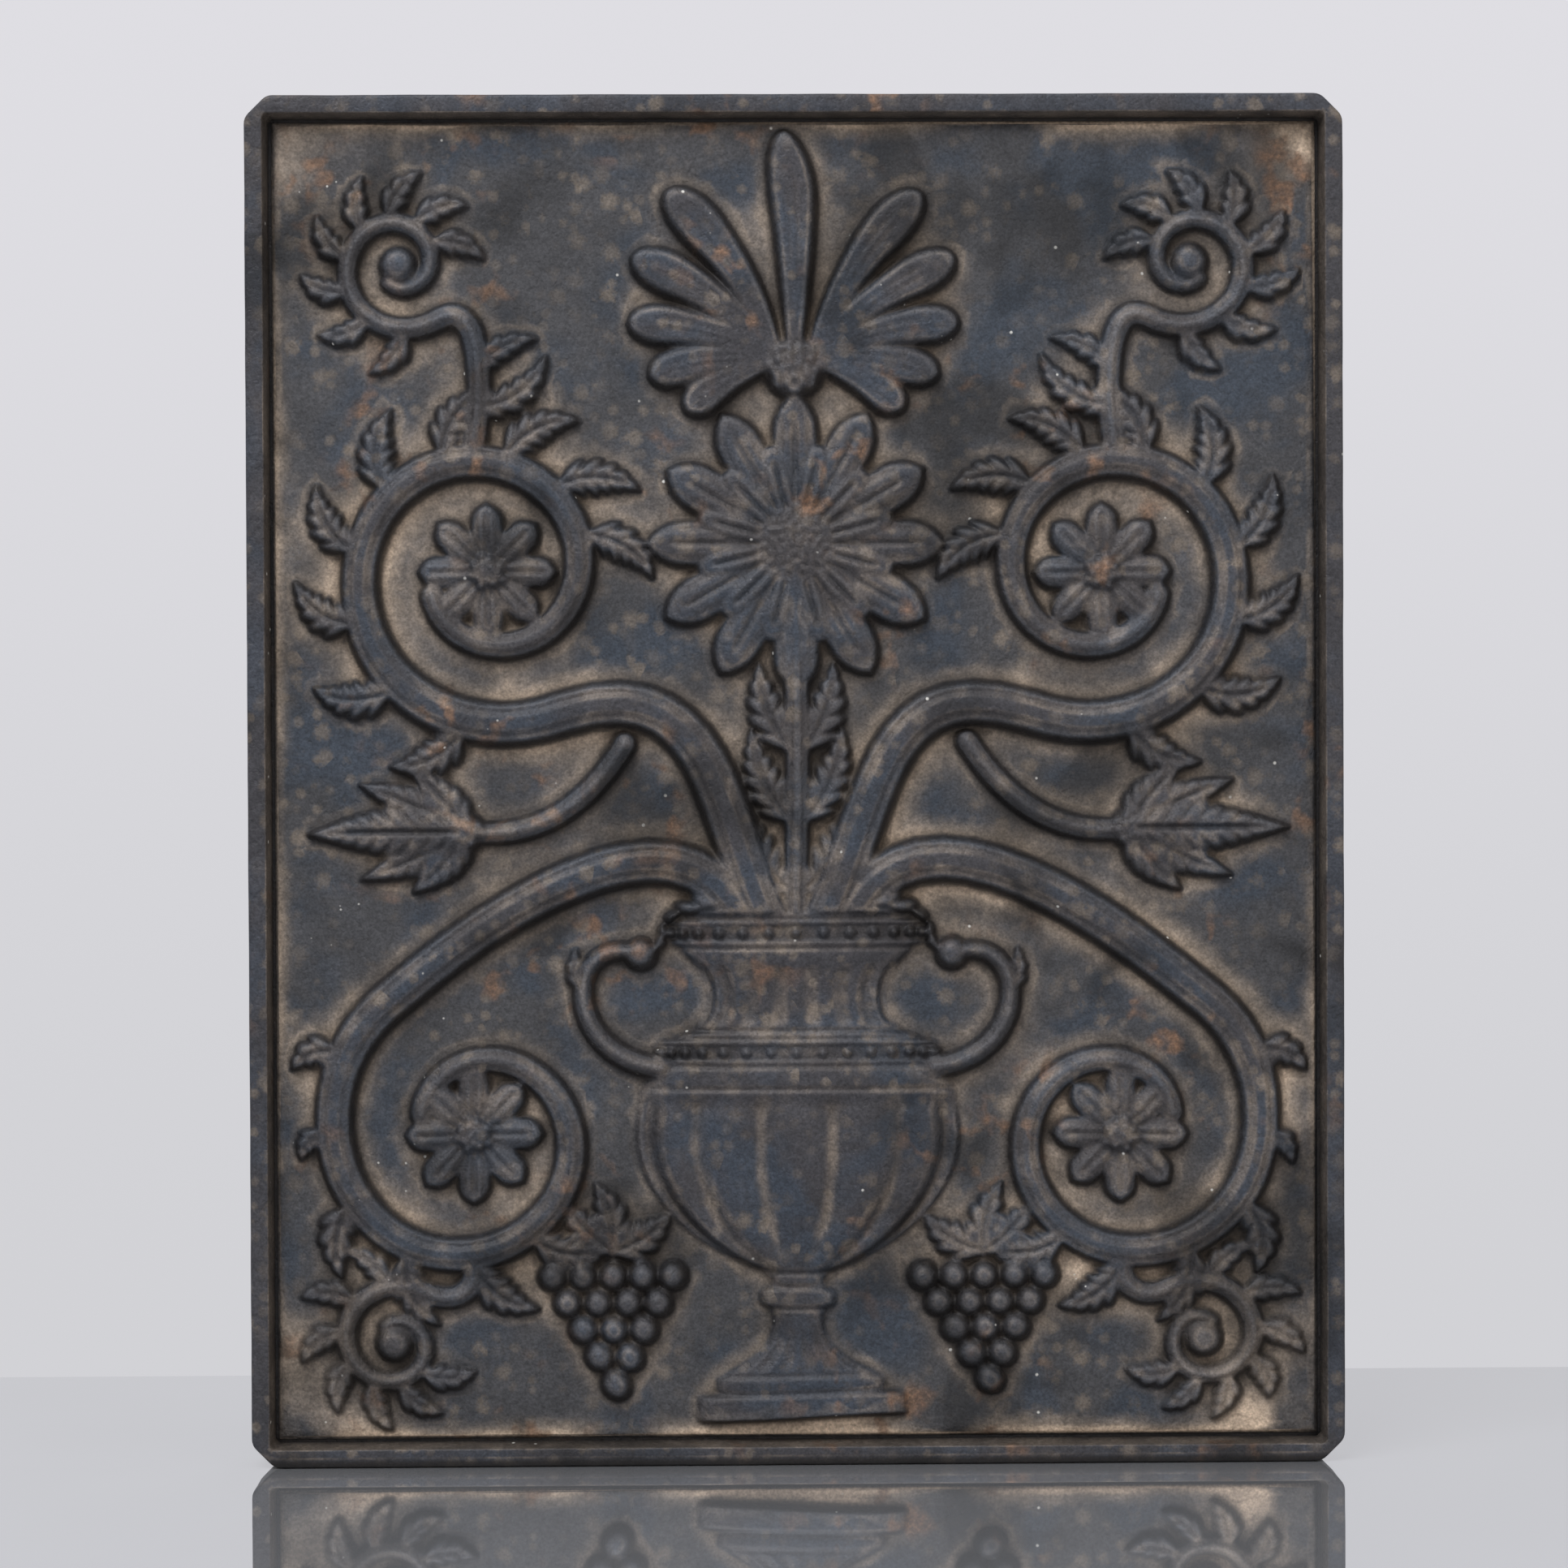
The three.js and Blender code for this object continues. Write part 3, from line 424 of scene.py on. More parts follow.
# Each kind of node: its type, its settings, its inputs in the order that they are given, and the
# output that add gives back, or None for the node itself.
KINDS = {
    "times": ("ShaderNodeMath", {"operation": "MULTIPLY"}, (0, 1), 0),
    "plus": ("ShaderNodeMath", {"operation": "ADD"}, (0, 1), 0),
    "over": ("ShaderNodeMath", {"operation": "DIVIDE"}, (0, 1), 0),
    "times_plus": ("ShaderNodeMath", {"operation": "MULTIPLY_ADD"}, (0, 1, 2), 0),
    "scaled": ("ShaderNodeVectorMath", {"operation": "SCALE"}, (0, "Scale"), 0),
    "about_y": ("ShaderNodeCombineXYZ", {}, ("Y",), 0),
    "height": ("ShaderNodeSeparateXYZ", {}, (0,), "Z"),
    "draw": ("ShaderNodeSeparateColor", {}, (0,), 0),
    "step": (
        "ShaderNodeMapRange",
        {"interpolation_type": "SMOOTHSTEP"},
        ("Value", "From Min", "From Max", "To Min", "To Max"),
        "Result",
    ),
    "mix": ("ShaderNodeMix", {"data_type": "RGBA"}, ("Factor", "A", "B"), "Result"),
    "clouds": (
        "ShaderNodeTexNoise",
        {"noise_dimensions": "4D"},
        ("Vector", "Scale", "Detail", "Distortion", "W"),
        0,
    ),
    "cells": ("ShaderNodeTexVoronoi", {}, ("Vector", "Scale"), "Distance"),
    "place": ("ShaderNodeTexCoord", {}, (), "Object"),
    "kept": ("ShaderNodeAttribute", {}, (), "Fac"),
    "bump": ("ShaderNodeBump", {}, ("Height", "Strength", "Distance", "Normal"), 0),
    "shader": ("ShaderNodeBsdfPrincipled", {}, (), None),
    "clear": ("ShaderNodeBsdfTransparent", {}, (), 0),
    "shaders": ("ShaderNodeMixShader", {}, (0, 1, 2), 0),
    "behind": ("ShaderNodeNewGeometry", {}, (), "Backfacing"),
    "glow": ("ShaderNodeBackground", {}, ("Color", "Strength"), 0),
    "light_path": ("ShaderNodeLightPath", {}, (), None),
    "skin_out": ("ShaderNodeOutputMaterial", {}, ("Surface",), None),
    "world_out": ("ShaderNodeOutputWorld", {}, ("Surface",), None),
    "normal": ("GeometryNodeInputNormal", {}, (), 0),
    "shift": ("GeometryNodeSetPosition", {}, ("Geometry", "Offset"), 0),
    "item": ("GeometryNodeObjectInfo", {}, ("Object",), "Geometry"),
    "stored": ("GeometryNodeInputNamedAttribute", {"data_type": "FLOAT"}, ("Name",), 0),
    "random": ("FunctionNodeRandomValue", {"data_type": "FLOAT"}, (2, 3, "Seed"), 1),
    "copies": ("GeometryNodeInstanceOnPoints", {}, ("Points", "Instance", "Rotation"), 0),
    "realize": ("GeometryNodeRealizeInstances", {}, (0,), 0),
    "paint": ("GeometryNodeSetMaterial", {}, ("Geometry", "Material"), 0),
}


def plug(node, inputs):
    """Gives a node its inputs, each a number, a colour or another node's output."""
    for key, value in inputs.items():
        if isinstance(value, bpy.types.NodeSocket):
            node.id_data.links.new(value, node.inputs[key])
        elif value is not None:
            node.inputs[key].default_value = value


def add(tree, kind, *values, **settings):
    """Adds a node of a kind. The values go to its inputs in the order that KINDS gives."""
    type_name, usual, inputs, output = KINDS[kind]
    node = tree.nodes.new(type_name)
    for name, value in {**usual, **settings}.items():
        setattr(node, name, value)
    plug(node, dict(zip(inputs, values)))
    return node if output is None else node.outputs[output]


# -------------------------------------------------------------- geometry nodes


def geometry_tree(name, sockets):
    """An empty tree with a geometry and named inputs coming in, and its end."""
    tree = bpy.data.node_groups.new(name, "GeometryNodeTree")
    for label, kind in {"Geometry": "Geometry", **sockets, "Material": "Material"}.items():
        tree.interface.new_socket(label, in_out="INPUT", socket_type=f"NodeSocket{kind}")
    tree.interface.new_socket("Geometry", in_out="OUTPUT", socket_type="NodeSocketGeometry")
    return tree, tree.nodes.new("NodeGroupInput").outputs, tree.nodes.new("NodeGroupOutput")


def ended(tree, geometry, given, out):
    """Ends a tree with plain geometry in its own material, because an export drops copies."""
    painted = add(tree, "paint", add(tree, "realize", geometry), given["Material"])
    tree.links.new(painted, out.inputs[0])
    return tree


def unevenness_tree():
    """Lets every face dip in a little, as a sand mould does."""
    sockets = {"Unevenness": "Float", "Ripple": "Float", "Seed": "Int"}
    tree, given, out = geometry_tree("Cast Unevenness", sockets)
    often = add(tree, "over", 1.0, given["Ripple"])
    dips = add(tree, "clouds", None, often, 3.0, None, given["Seed"])
    depth = add(tree, "times", dips, given["Unevenness"])
    outwards = add(tree, "scaled", add(tree, "normal"), depth)
    dipped = add(tree, "shift", given["Geometry"], add(tree, "scaled", outwards, -1.0))
    return ended(tree, dipped, given, out)


def copies_tree():
    """Puts a copy of one item on every point, turned about Y by the point's own turn."""
    sockets = {"Item": "Object", "Loose Turn": "Float", "Seed": "Int"}
    tree, given, out = geometry_tree("Copies on Points", sockets)
    least = add(tree, "times", given["Loose Turn"], -1.0)
    loose = add(tree, "random", least, given["Loose Turn"], given["Seed"])
    turn = add(tree, "plus", add(tree, "stored", "turn"), loose)
    item = add(tree, "item", given["Item"])
    copies = add(tree, "copies", given["Geometry"], item, add(tree, "about_y", turn))
    return ended(tree, copies, given, out)


def through_tree(obj, make, name, values):
    """Runs an object through a tree, made once, and keeps the result as a plain mesh."""
    tree = bpy.data.node_groups.get(name) or make()
    modifier = obj.modifiers.new(name, "NODES")
    modifier.node_group = tree
    for item in tree.interface.items_tree:
        if item.in_out == "INPUT" and item.name in values:
            modifier[item.identifier] = values[item.name]
    return baked(obj)


def copied_to(name, item, places, loose, seed, material):
    """Copies of an item at places of x, y, z and turn about Y, as one mesh."""
    points = mesh_object(name, [place[:3] for place in places])
    store(points, "turn", [place[3] for place in places])
    values = {"Item": item, "Loose Turn": loose, "Seed": seed, "Material": material}
    made = through_tree(points, copies_tree, "Copies on Points", values)
    bpy.data.objects.remove(item)
    return close_up(made)


# ------------------------------------------------------------------- materials


def per_metre(size):
    """How often a pattern of a size in millimetres comes in a metre."""
    return 1 / (size * MM)


def paints():
    """The colours of the finish by their names."""
    finish = bpy.context.scene.fireback_finish
    return {name: tuple(getattr(finish, name)) for name in FinishSettings.__annotations__}


def spots_of(tree, place, size, ragged, reach, lots):
    """Round spots, one for some of the cells of a size in millimetres.

    Reach gives where a spot begins to fade and where it ends, in cells, and lots
    gives the draws between which a cell's spot grows from nothing to full.
    """
    cells = add(tree, "cells", place, per_metre(size))
    rough = add(tree, "times_plus", ragged, 0.6, -0.3)
    near = add(tree, "step", add(tree, "plus", cells, rough), *reach, 1, 0)
    drawn = add(tree, "draw", cells.node.outputs["Color"])
    return add(tree, "times", near, add(tree, "step", drawn, *lots))


def blank_material(name):
    """A new material with its tree, its shader and its output."""
    material = bpy.data.materials.new(name)
    material.use_nodes = True
    tree = material.node_tree
    tree.nodes.clear()
    shader = add(tree, "shader")
    return material, tree, shader, add(tree, "skin_out", shader.outputs[0])


def cast_iron(name, stained=1.0, dusty=1.0, bright=1.0, cooled=0.65, seed=0.0):
    """Sand-cast iron, blackened and long indoors.

    A sand mould leaves a fine even grain and soft edges. Old blacking has gone
    dull, in grey, in darker clouds and in cooler blue-grey patches a few fingers
    wide. Soft round brown spots the size of a pea lie all over it, with a few
    real rust spots. Dry dust has settled beside every raised form, with a thin
    pale line where it ends, and soot with painted shade darkens the steep sides.
    """
    paint = paints()
    material, tree, shader, _ = blank_material(name)
    place = add(tree, "place")
    dusted, crease, wear, low = (add(tree, "kept", attribute_name=mark) for mark in MARKS)
    fine = add(tree, "clouds", place, per_metre(1.7), 5, 0, seed + 1)
    broad = add(tree, "clouds", place, per_metre(15), 3, 0.4, seed + 2)

    # Blacking: darker on the forms than on the ground, and blue-grey in patches.
    cool = add(tree, "clouds", place, per_metre(36), 3, 0.5, seed)
    cool = add(tree, "times", add(tree, "step", cool, 0.45, 0.62), cooled)
    skin = add(tree, "mix", low, paint["iron"], paint["ground"])
    skin = add(tree, "mix", cool, skin, paint["iron_blue"])

    # Brown spots of two sizes, denser in some places.
    gathered = add(tree, "clouds", place, per_metre(50), 2, 0, seed + 4)
    gathered = add(tree, "step", gathered, 0.36, 0.60, 0.25, 1)
    for size, strength in ((9.5, 0.64), (6.0, 0.52)):
        spot = spots_of(tree, place, size, fine, (0.16, 0.46), (0.3, 0.8))
        spot = add(tree, "times", add(tree, "times", spot, gathered), strength * stained)
        skin = add(tree, "mix", spot, skin, paint["stain"])

    # Dust, paler where it is thick.
    drift = add(tree, "times", add(tree, "plus", broad, -0.5), 0.5)
    halo = add(tree, "plus", dusted, drift)
    settled = add(tree, "step", dusted, 0.02, 0.25, 0, 0.95 * dusty)
    dust = add(tree, "times", settled, add(tree, "step", halo, 0.0, 0.80))
    thick = add(tree, "step", halo, 0.45, 1.0)
    dust_colour = add(tree, "mix", thick, paint["dust"], paint["dust_pale"])
    skin = add(tree, "mix", dust, skin, dust_colour)

    # Rust in some regions, fresh at its middle.
    spots = add(tree, "clouds", place, per_metre(11), 2, 0.2, seed + 5)
    region = add(tree, "clouds", place, per_metre(62), 2, 0, seed + 6)
    region = add(tree, "step", region, 0.50, 0.62)
    rust = add(tree, "times", add(tree, "step", spots, 0.55, 0.68, 0, 0.8 * stained), region)
    bitten = add(tree, "step", fine, 0.4, 0.6)
    fresh = add(tree, "times", add(tree, "step", spots, 0.64, 0.74), bitten)
    rust_colour = add(tree, "mix", fresh, paint["rust"], paint["rust_fresh"])
    skin = add(tree, "mix", rust, skin, rust_colour)

    # The pale line where dust meets the dark, rubbed edges, and the soot and painted shade itself.
    near_soot_and_shade = add(tree, "step", crease, 0.04, 0.20)
    edge = add(tree, "times", near_soot_and_shade, add(tree, "step", crease, 0.22, 0.5, 1, 0))
    edge = add(tree, "times", edge, add(tree, "step", broad, 0.45, 0.65, 0.06, 0.30 * dusty))
    skin = add(tree, "mix", edge, skin, dust_colour)
    skin = add(tree, "mix", add(tree, "step", wear, 0.2, 1.0, 0, 0.25), skin, paint["worn"])
    skin = add(tree, "mix", add(tree, "step", crease, 0.05, 0.95, 0, 0.88), skin, paint["crease"])

    # Pale specks, alone and in clusters.
    speck = spots_of(tree, place, 8, 0.5, (0.04, 0.10), (0.88, 0.89))
    skin = add(tree, "mix", add(tree, "times", speck, 0.75), skin, paint["speck"])
    cluster = add(tree, "clouds", place, per_metre(30), 1, 0, seed + 10)
    cluster = add(tree, "step", cluster, 0.66, 0.70)
    small = spots_of(tree, place, 3.4, 0.5, (0.06, 0.17), (0.72, 0.75))
    small = add(tree, "times", add(tree, "times", small, cluster), 0.6)
    skin = add(tree, "mix", small, skin, paint["speck"])

    # Lighter and darker grey, from the sand's grain to broad clouds.
    grain = add(tree, "clouds", place, per_metre(0.9), 3, 0, seed + 7)
    cloud = add(tree, "clouds", place, per_metre(55), 3, 0.3, seed + 9)
    grey = add(tree, "step", fine, 0.28, 0.72, 0.78 * bright, 1.22 * bright)
    for pattern, limits in (
        (broad, (0.30, 0.70, 0.88, 1.12)),
        (grain, (0.3, 0.7, 0.80, 1.20)),
        (cloud, (0.37, 0.47, 0.52, 0.98)),
        (cloud, (0.47, 0.62, 1.0, 1.08)),
    ):
        grey = add(tree, "times", grey, add(tree, "step", pattern, *limits))

    # Pits and grain of the mould, and duller where dust lies.
    softer = add(tree, "times", add(tree, "plus", dust, low), 0.14)
    pits = add(tree, "clouds", place, per_metre(2.6), 2, 0, seed + 8)
    pits = add(tree, "step", pits, 0.30, 0.5)
    rough = add(tree, "bump", grain, 0.55, 0.25 * MM)
    plug(shader, {
        "Base Color": add(tree, "scaled", skin, grey),
        "Roughness": add(tree, "plus", add(tree, "step", fine, 0.3, 0.7, 0.52, 0.66), softer),
        "Metallic": add(tree, "step", dust, 0, 1, 0.25, 0.0),
        "Specular IOR Level": 0.35,
        "Normal": add(tree, "bump", pits, 0.5, 0.3 * MM, rough),
    })
    return material


def browned_steel(name, brightness, seed):
    """Rolled mild steel browned by years of damp, bare where a spanner has rubbed it."""
    paint = paints()
    material, tree, shader, _ = blank_material(name)
    place = add(tree, "place")
    wear = add(tree, "kept", attribute_name="wear")
    cloud = add(tree, "clouds", place, per_metre(5), 4, 0.5, seed)
    rust = add(tree, "clouds", place, per_metre(3), 4, 0.6, seed + 1)
    grain = add(tree, "clouds", place, per_metre(0.5), 3, 0, seed + 2)
    bare = add(tree, "step", cloud, 0.3, 0.6, 1, 0.3)
    bare = add(tree, "times", add(tree, "step", wear, 0.2, 0.8), bare)
    skin = add(tree, "mix", add(tree, "step", cloud, 0.45, 0.65), paint["steel"], paint["stain"])
    skin = add(tree, "mix", add(tree, "step", rust, 0.60, 0.72, 0, 0.7), skin, paint["rust"])
    skin = add(tree, "mix", bare, skin, paint["steel_worn"])
    plug(shader, {
        "Base Color": add(tree, "scaled", skin, brightness),
        "Metallic": 0.8,
        "Roughness": add(tree, "step", cloud, 0.3, 0.7, 0.38, 0.6),
        "Normal": add(tree, "bump", grain, 0.25, 0.1 * MM),
    })
    return material


# ---------------------------------------------------------------- the carving
#
# The relief in millimetres. Angles are in degrees, counter-clockwise from the
# right, on the right-hand half, and the left half is its mirror image.

URN = {
    "from_bottom": 8,
    "plinth": 38,
    "foot": 31,
    "stem": 9.5,
    "knop": 14.5,
    "bowl": 60,
    "neck": 33,
    "lip": 48,
    "total": 183,
    "mouth_depth": 6,
    "height": 8.4,
}
URN_GROOVES = (8.5, 14.5, 38, 46, 51, 118.5, 127, 137, 140, 170.5, 181)
URN_FLUTES = ((1.6, 9, (141, 144, 162, 165)), (1.2, 8, (15, 17, 25, 30)))
UPPER_SCROLL = {
    "from_side": 77, "from_top": 163, "from": -118, "turn": 455, "outer": 58, "inner": 22,
    "stem": 19, "tip": 9.5, "height": 8.2, "approach": 60,
}
LOWER_SCROLL = {
    "from_side": 71, "from_bottom": 110, "from": 62, "turn": -400, "outer": 59, "inner": 21,
    "stem": 18, "tip": 9, "height": 7.8, "approach": 58,
}
TOP_CURL = {
    "from_side": 45, "from_top": 50, "from": -128, "turn": 430, "outer": 25, "inner": 7,
    "stem": 10, "tip": 6.5, "height": 6, "approach": 18,
}
BOTTOM_CURL = {
    "from_side": 41, "from_bottom": 34, "from": 128, "turn": -425, "outer": 23, "inner": 7,
    "stem": 9.5, "tip": 6, "height": 5.8, "approach": 10,
}
SPIRAL_EASE = 0.9
SCROLL_LEAF = {"length": 30, "least": 12, "width": 15, "height": 6, "lean": 24, "bend": 62}
CURL_LEAF = {"length": 20, "least": 10, "width": 10.5, "height": 4.8, "lean": 22, "bend": 55}
LEAF_EDGE_GAP = 4
SUNFLOWER = {"from_top": 153, "radius": 54, "petals": 12, "height": 8.4, "heart": 0.3}
SCROLL_FLOWER = {"radius": 25, "petals": 8, "height": 7.6, "heart": 0.3}
FLOWER_SPRAY = {"from_side": 68, "from_middle": -18, "length": 58, "width": 20, "height": 7.6}
PALMETTE = {
    "from_top": 89, "length": 84, "width": 22, "height": 7.4, "step": 21, "shorter": 9,
    "fronds": 5, "heading": 93, "bend": -30, "side_drop": 0.6, "foot": 12,
}
GRAPES = {"from_middle": 68, "from_bottom": 58, "rows": 5, "pitch": 11, "radius": 5.9, "height": 7.2}
BUD = {"radius": 7.2, "height": 6.4}

# Each row of petals: its turn in petals, and where it starts, where it ends, its width and its
# height as shares of the flower's own.
PETAL_ROWS = ((0, 0.2, 1, 1, 0.75), (0.5, 0.15, 0.68, 0.80, 0.90))
GOLDEN_ANGLE = 137.508


def point(x, z):
    return np.array([x, z], float)


def towards(angle, distance=1.0):
    return distance * point(math.cos(math.radians(angle)), math.sin(math.radians(angle)))


def groove(distance, width, depth):
    """How deep a groove is at a distance from its line."""
    return depth * np.exp(-((distance / width) ** 2))


def within(value, low, full_low, full_high, high):
    """1 between two limits, with a slope down to 0 on either side."""
    rise = np.clip((value - low) / (full_low - low), 0, 1)
    return rise * np.clip((high - value) / (high - full_high), 0, 1)


def bezier(points, steps=24):
    """Points along a curve with three or four control points."""
    t = np.linspace(0, 1, steps + 1)[:, None]
    degree = len(points) - 1
    weights = [math.comb(degree, k) * t**k * (1 - t) ** (degree - k) for k in range(degree + 1)]
    return sum(w * np.asarray(p, float) for w, p in zip(weights, points))


class Carving:
    """A field of heights over the ground of the relief."""

    def __init__(self, sizes, seed):
        self.inset = Sizes("fireback_border").lip_width + sizes.groove
        self.half = HALF_WIDTH - self.inset
        self.low = self.inset
        self.high = HEIGHT - self.inset
        self.edge = sizes.field_edge
        self.step = sizes.grid * 1
        columns = 2 * round(self.half / self.step) + 1
        rows = round((self.high - self.low) / self.step) + 1
        self.x = np.linspace(-self.half, self.half, columns)
        self.z = np.linspace(self.low, self.high, rows)
        self.height = np.zeros((rows, columns))
        self.random = np.random.default_rng(seed)
        self.field_half = self.half - self.edge
        self.field_low = self.low + self.edge
        self.field_high = self.high - self.edge
        self.mouth = self.field_low + URN["from_bottom"] + URN["total"] - URN["mouth_depth"]

    # -- tools

    def window(self, low, high):
        """The rows and columns between two corners."""
        c0, c1 = np.searchsorted(self.x, [low[0], high[0]])
        r0, r1 = np.searchsorted(self.z, [low[1], high[1]])
        return slice(max(r0 - 1, 0), r1 + 1), slice(max(c0 - 1, 0), c1 + 1)

    def raise_to(self, window, height):
        self.height[window] = np.maximum(self.height[window], height)

    def along(self, path, reach):
        """For each point near a path: how far it is from it, and its share of the path."""
        path = np.asarray(path, float)
        window = self.window(path.min(0) - reach, path.max(0) + reach)
        x, z = np.meshgrid(self.x[window[1]], self.z[window[0]])
        nearest = np.full(x.shape, np.inf)
        share = np.zeros(x.shape)
        spans = np.diff(path, axis=0)
        for k, (start, span) in enumerate(zip(path, spans)):
            u, v = x - start[0], z - start[1]
            t = np.clip((u * span[0] + v * span[1]) / (span @ span), 0, 1)
            away = np.hypot(u - t * span[0], v - t * span[1])
            closer = away < nearest
            nearest = np.where(closer, away, nearest)
            share = np.where(closer, (k + t) / len(spans), share)
        return window, nearest, share

    def dome(self, centre, radius, height, power=0.5):
        window = self.window(centre - radius, centre + radius)
        x, z = np.meshgrid(self.x[window[1]] - centre[0], self.z[window[0]] - centre[1])
        out = np.hypot(x, z) / radius
        self.raise_to(window, height * np.maximum(1 - out**2, 0) ** power)

    def bar(self, path, root, tip, height, sinking=0.0):
        """A full stem with a raised fillet between two grooves, from one width to another."""
        window, nearest, share = self.along(path, root / 2 + 1)
        half = (root + (tip - root) * share) / 2
        out = nearest / half
        raised = height * (1 - sinking * share) * np.sqrt(np.maximum(1 - out**3, 0))
        raised -= groove(nearest - 0.48 * half, 0.85, 1.3) * (half > 2.4)
        self.raise_to(window, np.where(out < 1, raised, 0))

    def bent(self, base, heading, length, bend, steps=14):
        """A path from a base that turns steadily."""
        path = [base]
        for k in range(steps):
            path.append(path[-1] + towards(heading + bend * (k + 0.5) / steps, length / steps))
        return path

    def leaf(self, base, heading, length, width, bend, height, notch=0.30):
        """A leaf with a sunk midrib, side veins, and notches that lean towards its tip."""
        path = self.bent(base, heading, length, bend)
        window, nearest, share = self.along(path, width / 2 + 1)
        half = (0.8 + width * np.sin(np.pi * (0.08 + 0.92 * share) ** 0.8)) / 2
        lobes = max(3, round(length / 6.5))
        fold = np.abs(np.sin(np.pi * lobes * (share - 0.85 * nearest / length + 0.04)))
        half = half * (1 - notch * (1 - fold**0.7) * (share < 0.9))
        out = nearest / half
        fading = np.minimum(1, 3.5 * (1 - share))
        raised = height * (1 - 0.35 * share) * np.sqrt(np.maximum(1 - out**2.6, 0))
        raised -= groove(nearest, 0.9, 0.30 * height * fading)
        raised -= groove(fold, 0.30, 0.25 * height * fading) * np.clip(out * 2, 0, 1)
        self.raise_to(window, np.where(out < 1, raised, 0))

    def frond(self, base, heading, length, width, bend, height):
        """A frond that widens towards a full round end, hollowed along its middle."""
        path = self.bent(base, heading, length, bend)
        window, nearest, share = self.along(path, width / 2 + 1)
        end = np.clip((share - 0.7) / 0.3, 0, 1)
        half = (1 + width * (0.25 + 0.75 * share) * np.sqrt(1 - end**2)) / 2
        out = nearest / half
        raised = height * (0.8 + 0.2 * np.sin(np.pi * share)) * np.sqrt(np.maximum(1 - out**3, 0))
        fading = np.clip(6 * (0.93 - share), 0, 1) * np.clip((half - 2) / 2, 0, 1)
        raised -= groove(out, 0.42, 0.22 * height * fading)
        raised += groove(nearest, 0.8, 0.14 * height * fading)
        self.raise_to(window, np.where(out < 1, raised, 0))

    def petal(self, centre, heading, inner, outer, width, height):
        """A petal with a full round end and three grooves that run along it."""
        path = self.bent(centre + towards(heading, inner), heading, outer - inner, 0, 8)
        window, nearest, share = self.along(path, width / 2 + 1)
        half = 0.5 * width * (0.45 + 0.55 * np.sin(np.pi * np.clip(0.12 + 0.66 * share, 0, 1)))
        half = half * np.sqrt(np.maximum(1 - np.clip((share - 0.7) / 0.3, 0, 1) ** 2.2, 0.02))
        out = nearest / half
        fading = np.clip(8 * (0.86 - share), 0, 1)
        raised = height * (0.72 + 0.28 * np.sin(np.pi * share)) * np.sqrt(np.maximum(1 - out**3, 0))
        raised -= groove(nearest, 0.85, 0.24 * height * fading)
        raised -= groove(nearest - 0.58 * half, 0.7, 0.15 * height * fading) * (half > 3)
        self.raise_to(window, np.where(out < 1, raised, 0))

    def seeds(self, centre, radius, height, count, bead):
        """Seeds in the spiral order of a sunflower's heart."""
        for k in range(count):
            out = radius * math.sqrt((k + 0.5) / count)
            top = height * (1 - 0.22 * (out / radius) ** 2)
            self.dome(centre + towards(GOLDEN_ANGLE * k, out), bead, top, 0.35)

    def flower(self, centre, size, second_row, seeds):
        radius = size["radius"]
        petals = size["petals"]
        height = size["height"]
        width = 0.66 * 2 * math.pi * radius / petals
        rows = PETAL_ROWS if second_row else PETAL_ROWS[:1]
        for turn, inner, outer, wide, high in rows:
            for k in range(petals):
                heading = 360 * (k + turn) / petals
                start, end = inner * radius, outer * radius
                self.petal(centre, heading, start, end, wide * width, high * height)
        heart = size["heart"] * radius
        self.dome(centre, heart, 0.86 * height, 0.4)
        self.seeds(centre, 0.86 * heart, height, seeds, 1.05 * heart / math.sqrt(seeds))

    # -- scrolls

    def middle(self, scroll):
        if "from_top" in scroll:
            z = self.field_high - scroll["from_top"]
        else:
            z = self.field_low + scroll["from_bottom"]
        return point(self.field_half - scroll["from_side"], z)

    def on_scroll(self, scroll, angle, offset=0.0):
        share = (angle - scroll["from"]) / scroll["turn"]
        radius = scroll["outer"] + (scroll["inner"] - scroll["outer"]) * share**SPIRAL_EASE
        return self.middle(scroll) + towards(angle, radius + offset)

    def scroll(self, scroll, root, bow):
        """A stem that leaves its root, runs into its scroll and winds inwards."""
        winding = [
            self.on_scroll(scroll, scroll["from"] + scroll["turn"] * k / 60) for k in range(61)
        ]
        arrival = winding[1] - winding[0]
        before = winding[0] - arrival / np.hypot(*arrival) * scroll["approach"]
        lead = bezier([root, bow, before, winding[0]], 14)[:-1]
        self.bar([*lead, *winding], scroll["stem"], scroll["tip"], scroll["height"], 0.27)

    def scroll_leaves(self, scroll, kind, angles):
        """Leaves along the outside of a scroll, shorter where the field's edge is near."""
        way = 1 if scroll["turn"] > 0 else -1
        for angle in angles:
            base = self.on_scroll(scroll, angle, 0.25 * scroll["stem"])
            room = min(self.field_half - base[0], self.field_high - base[1], base[1] - self.field_low)
            length = min(kind["length"], max(kind["least"], 1.3 * (room - LEAF_EDGE_GAP)))
            width = kind["width"] * math.sqrt(length / kind["length"])
            heading = angle + way * kind["lean"]
            self.leaf(base, heading, length, width, way * kind["bend"], kind["height"])

    # -- the urn

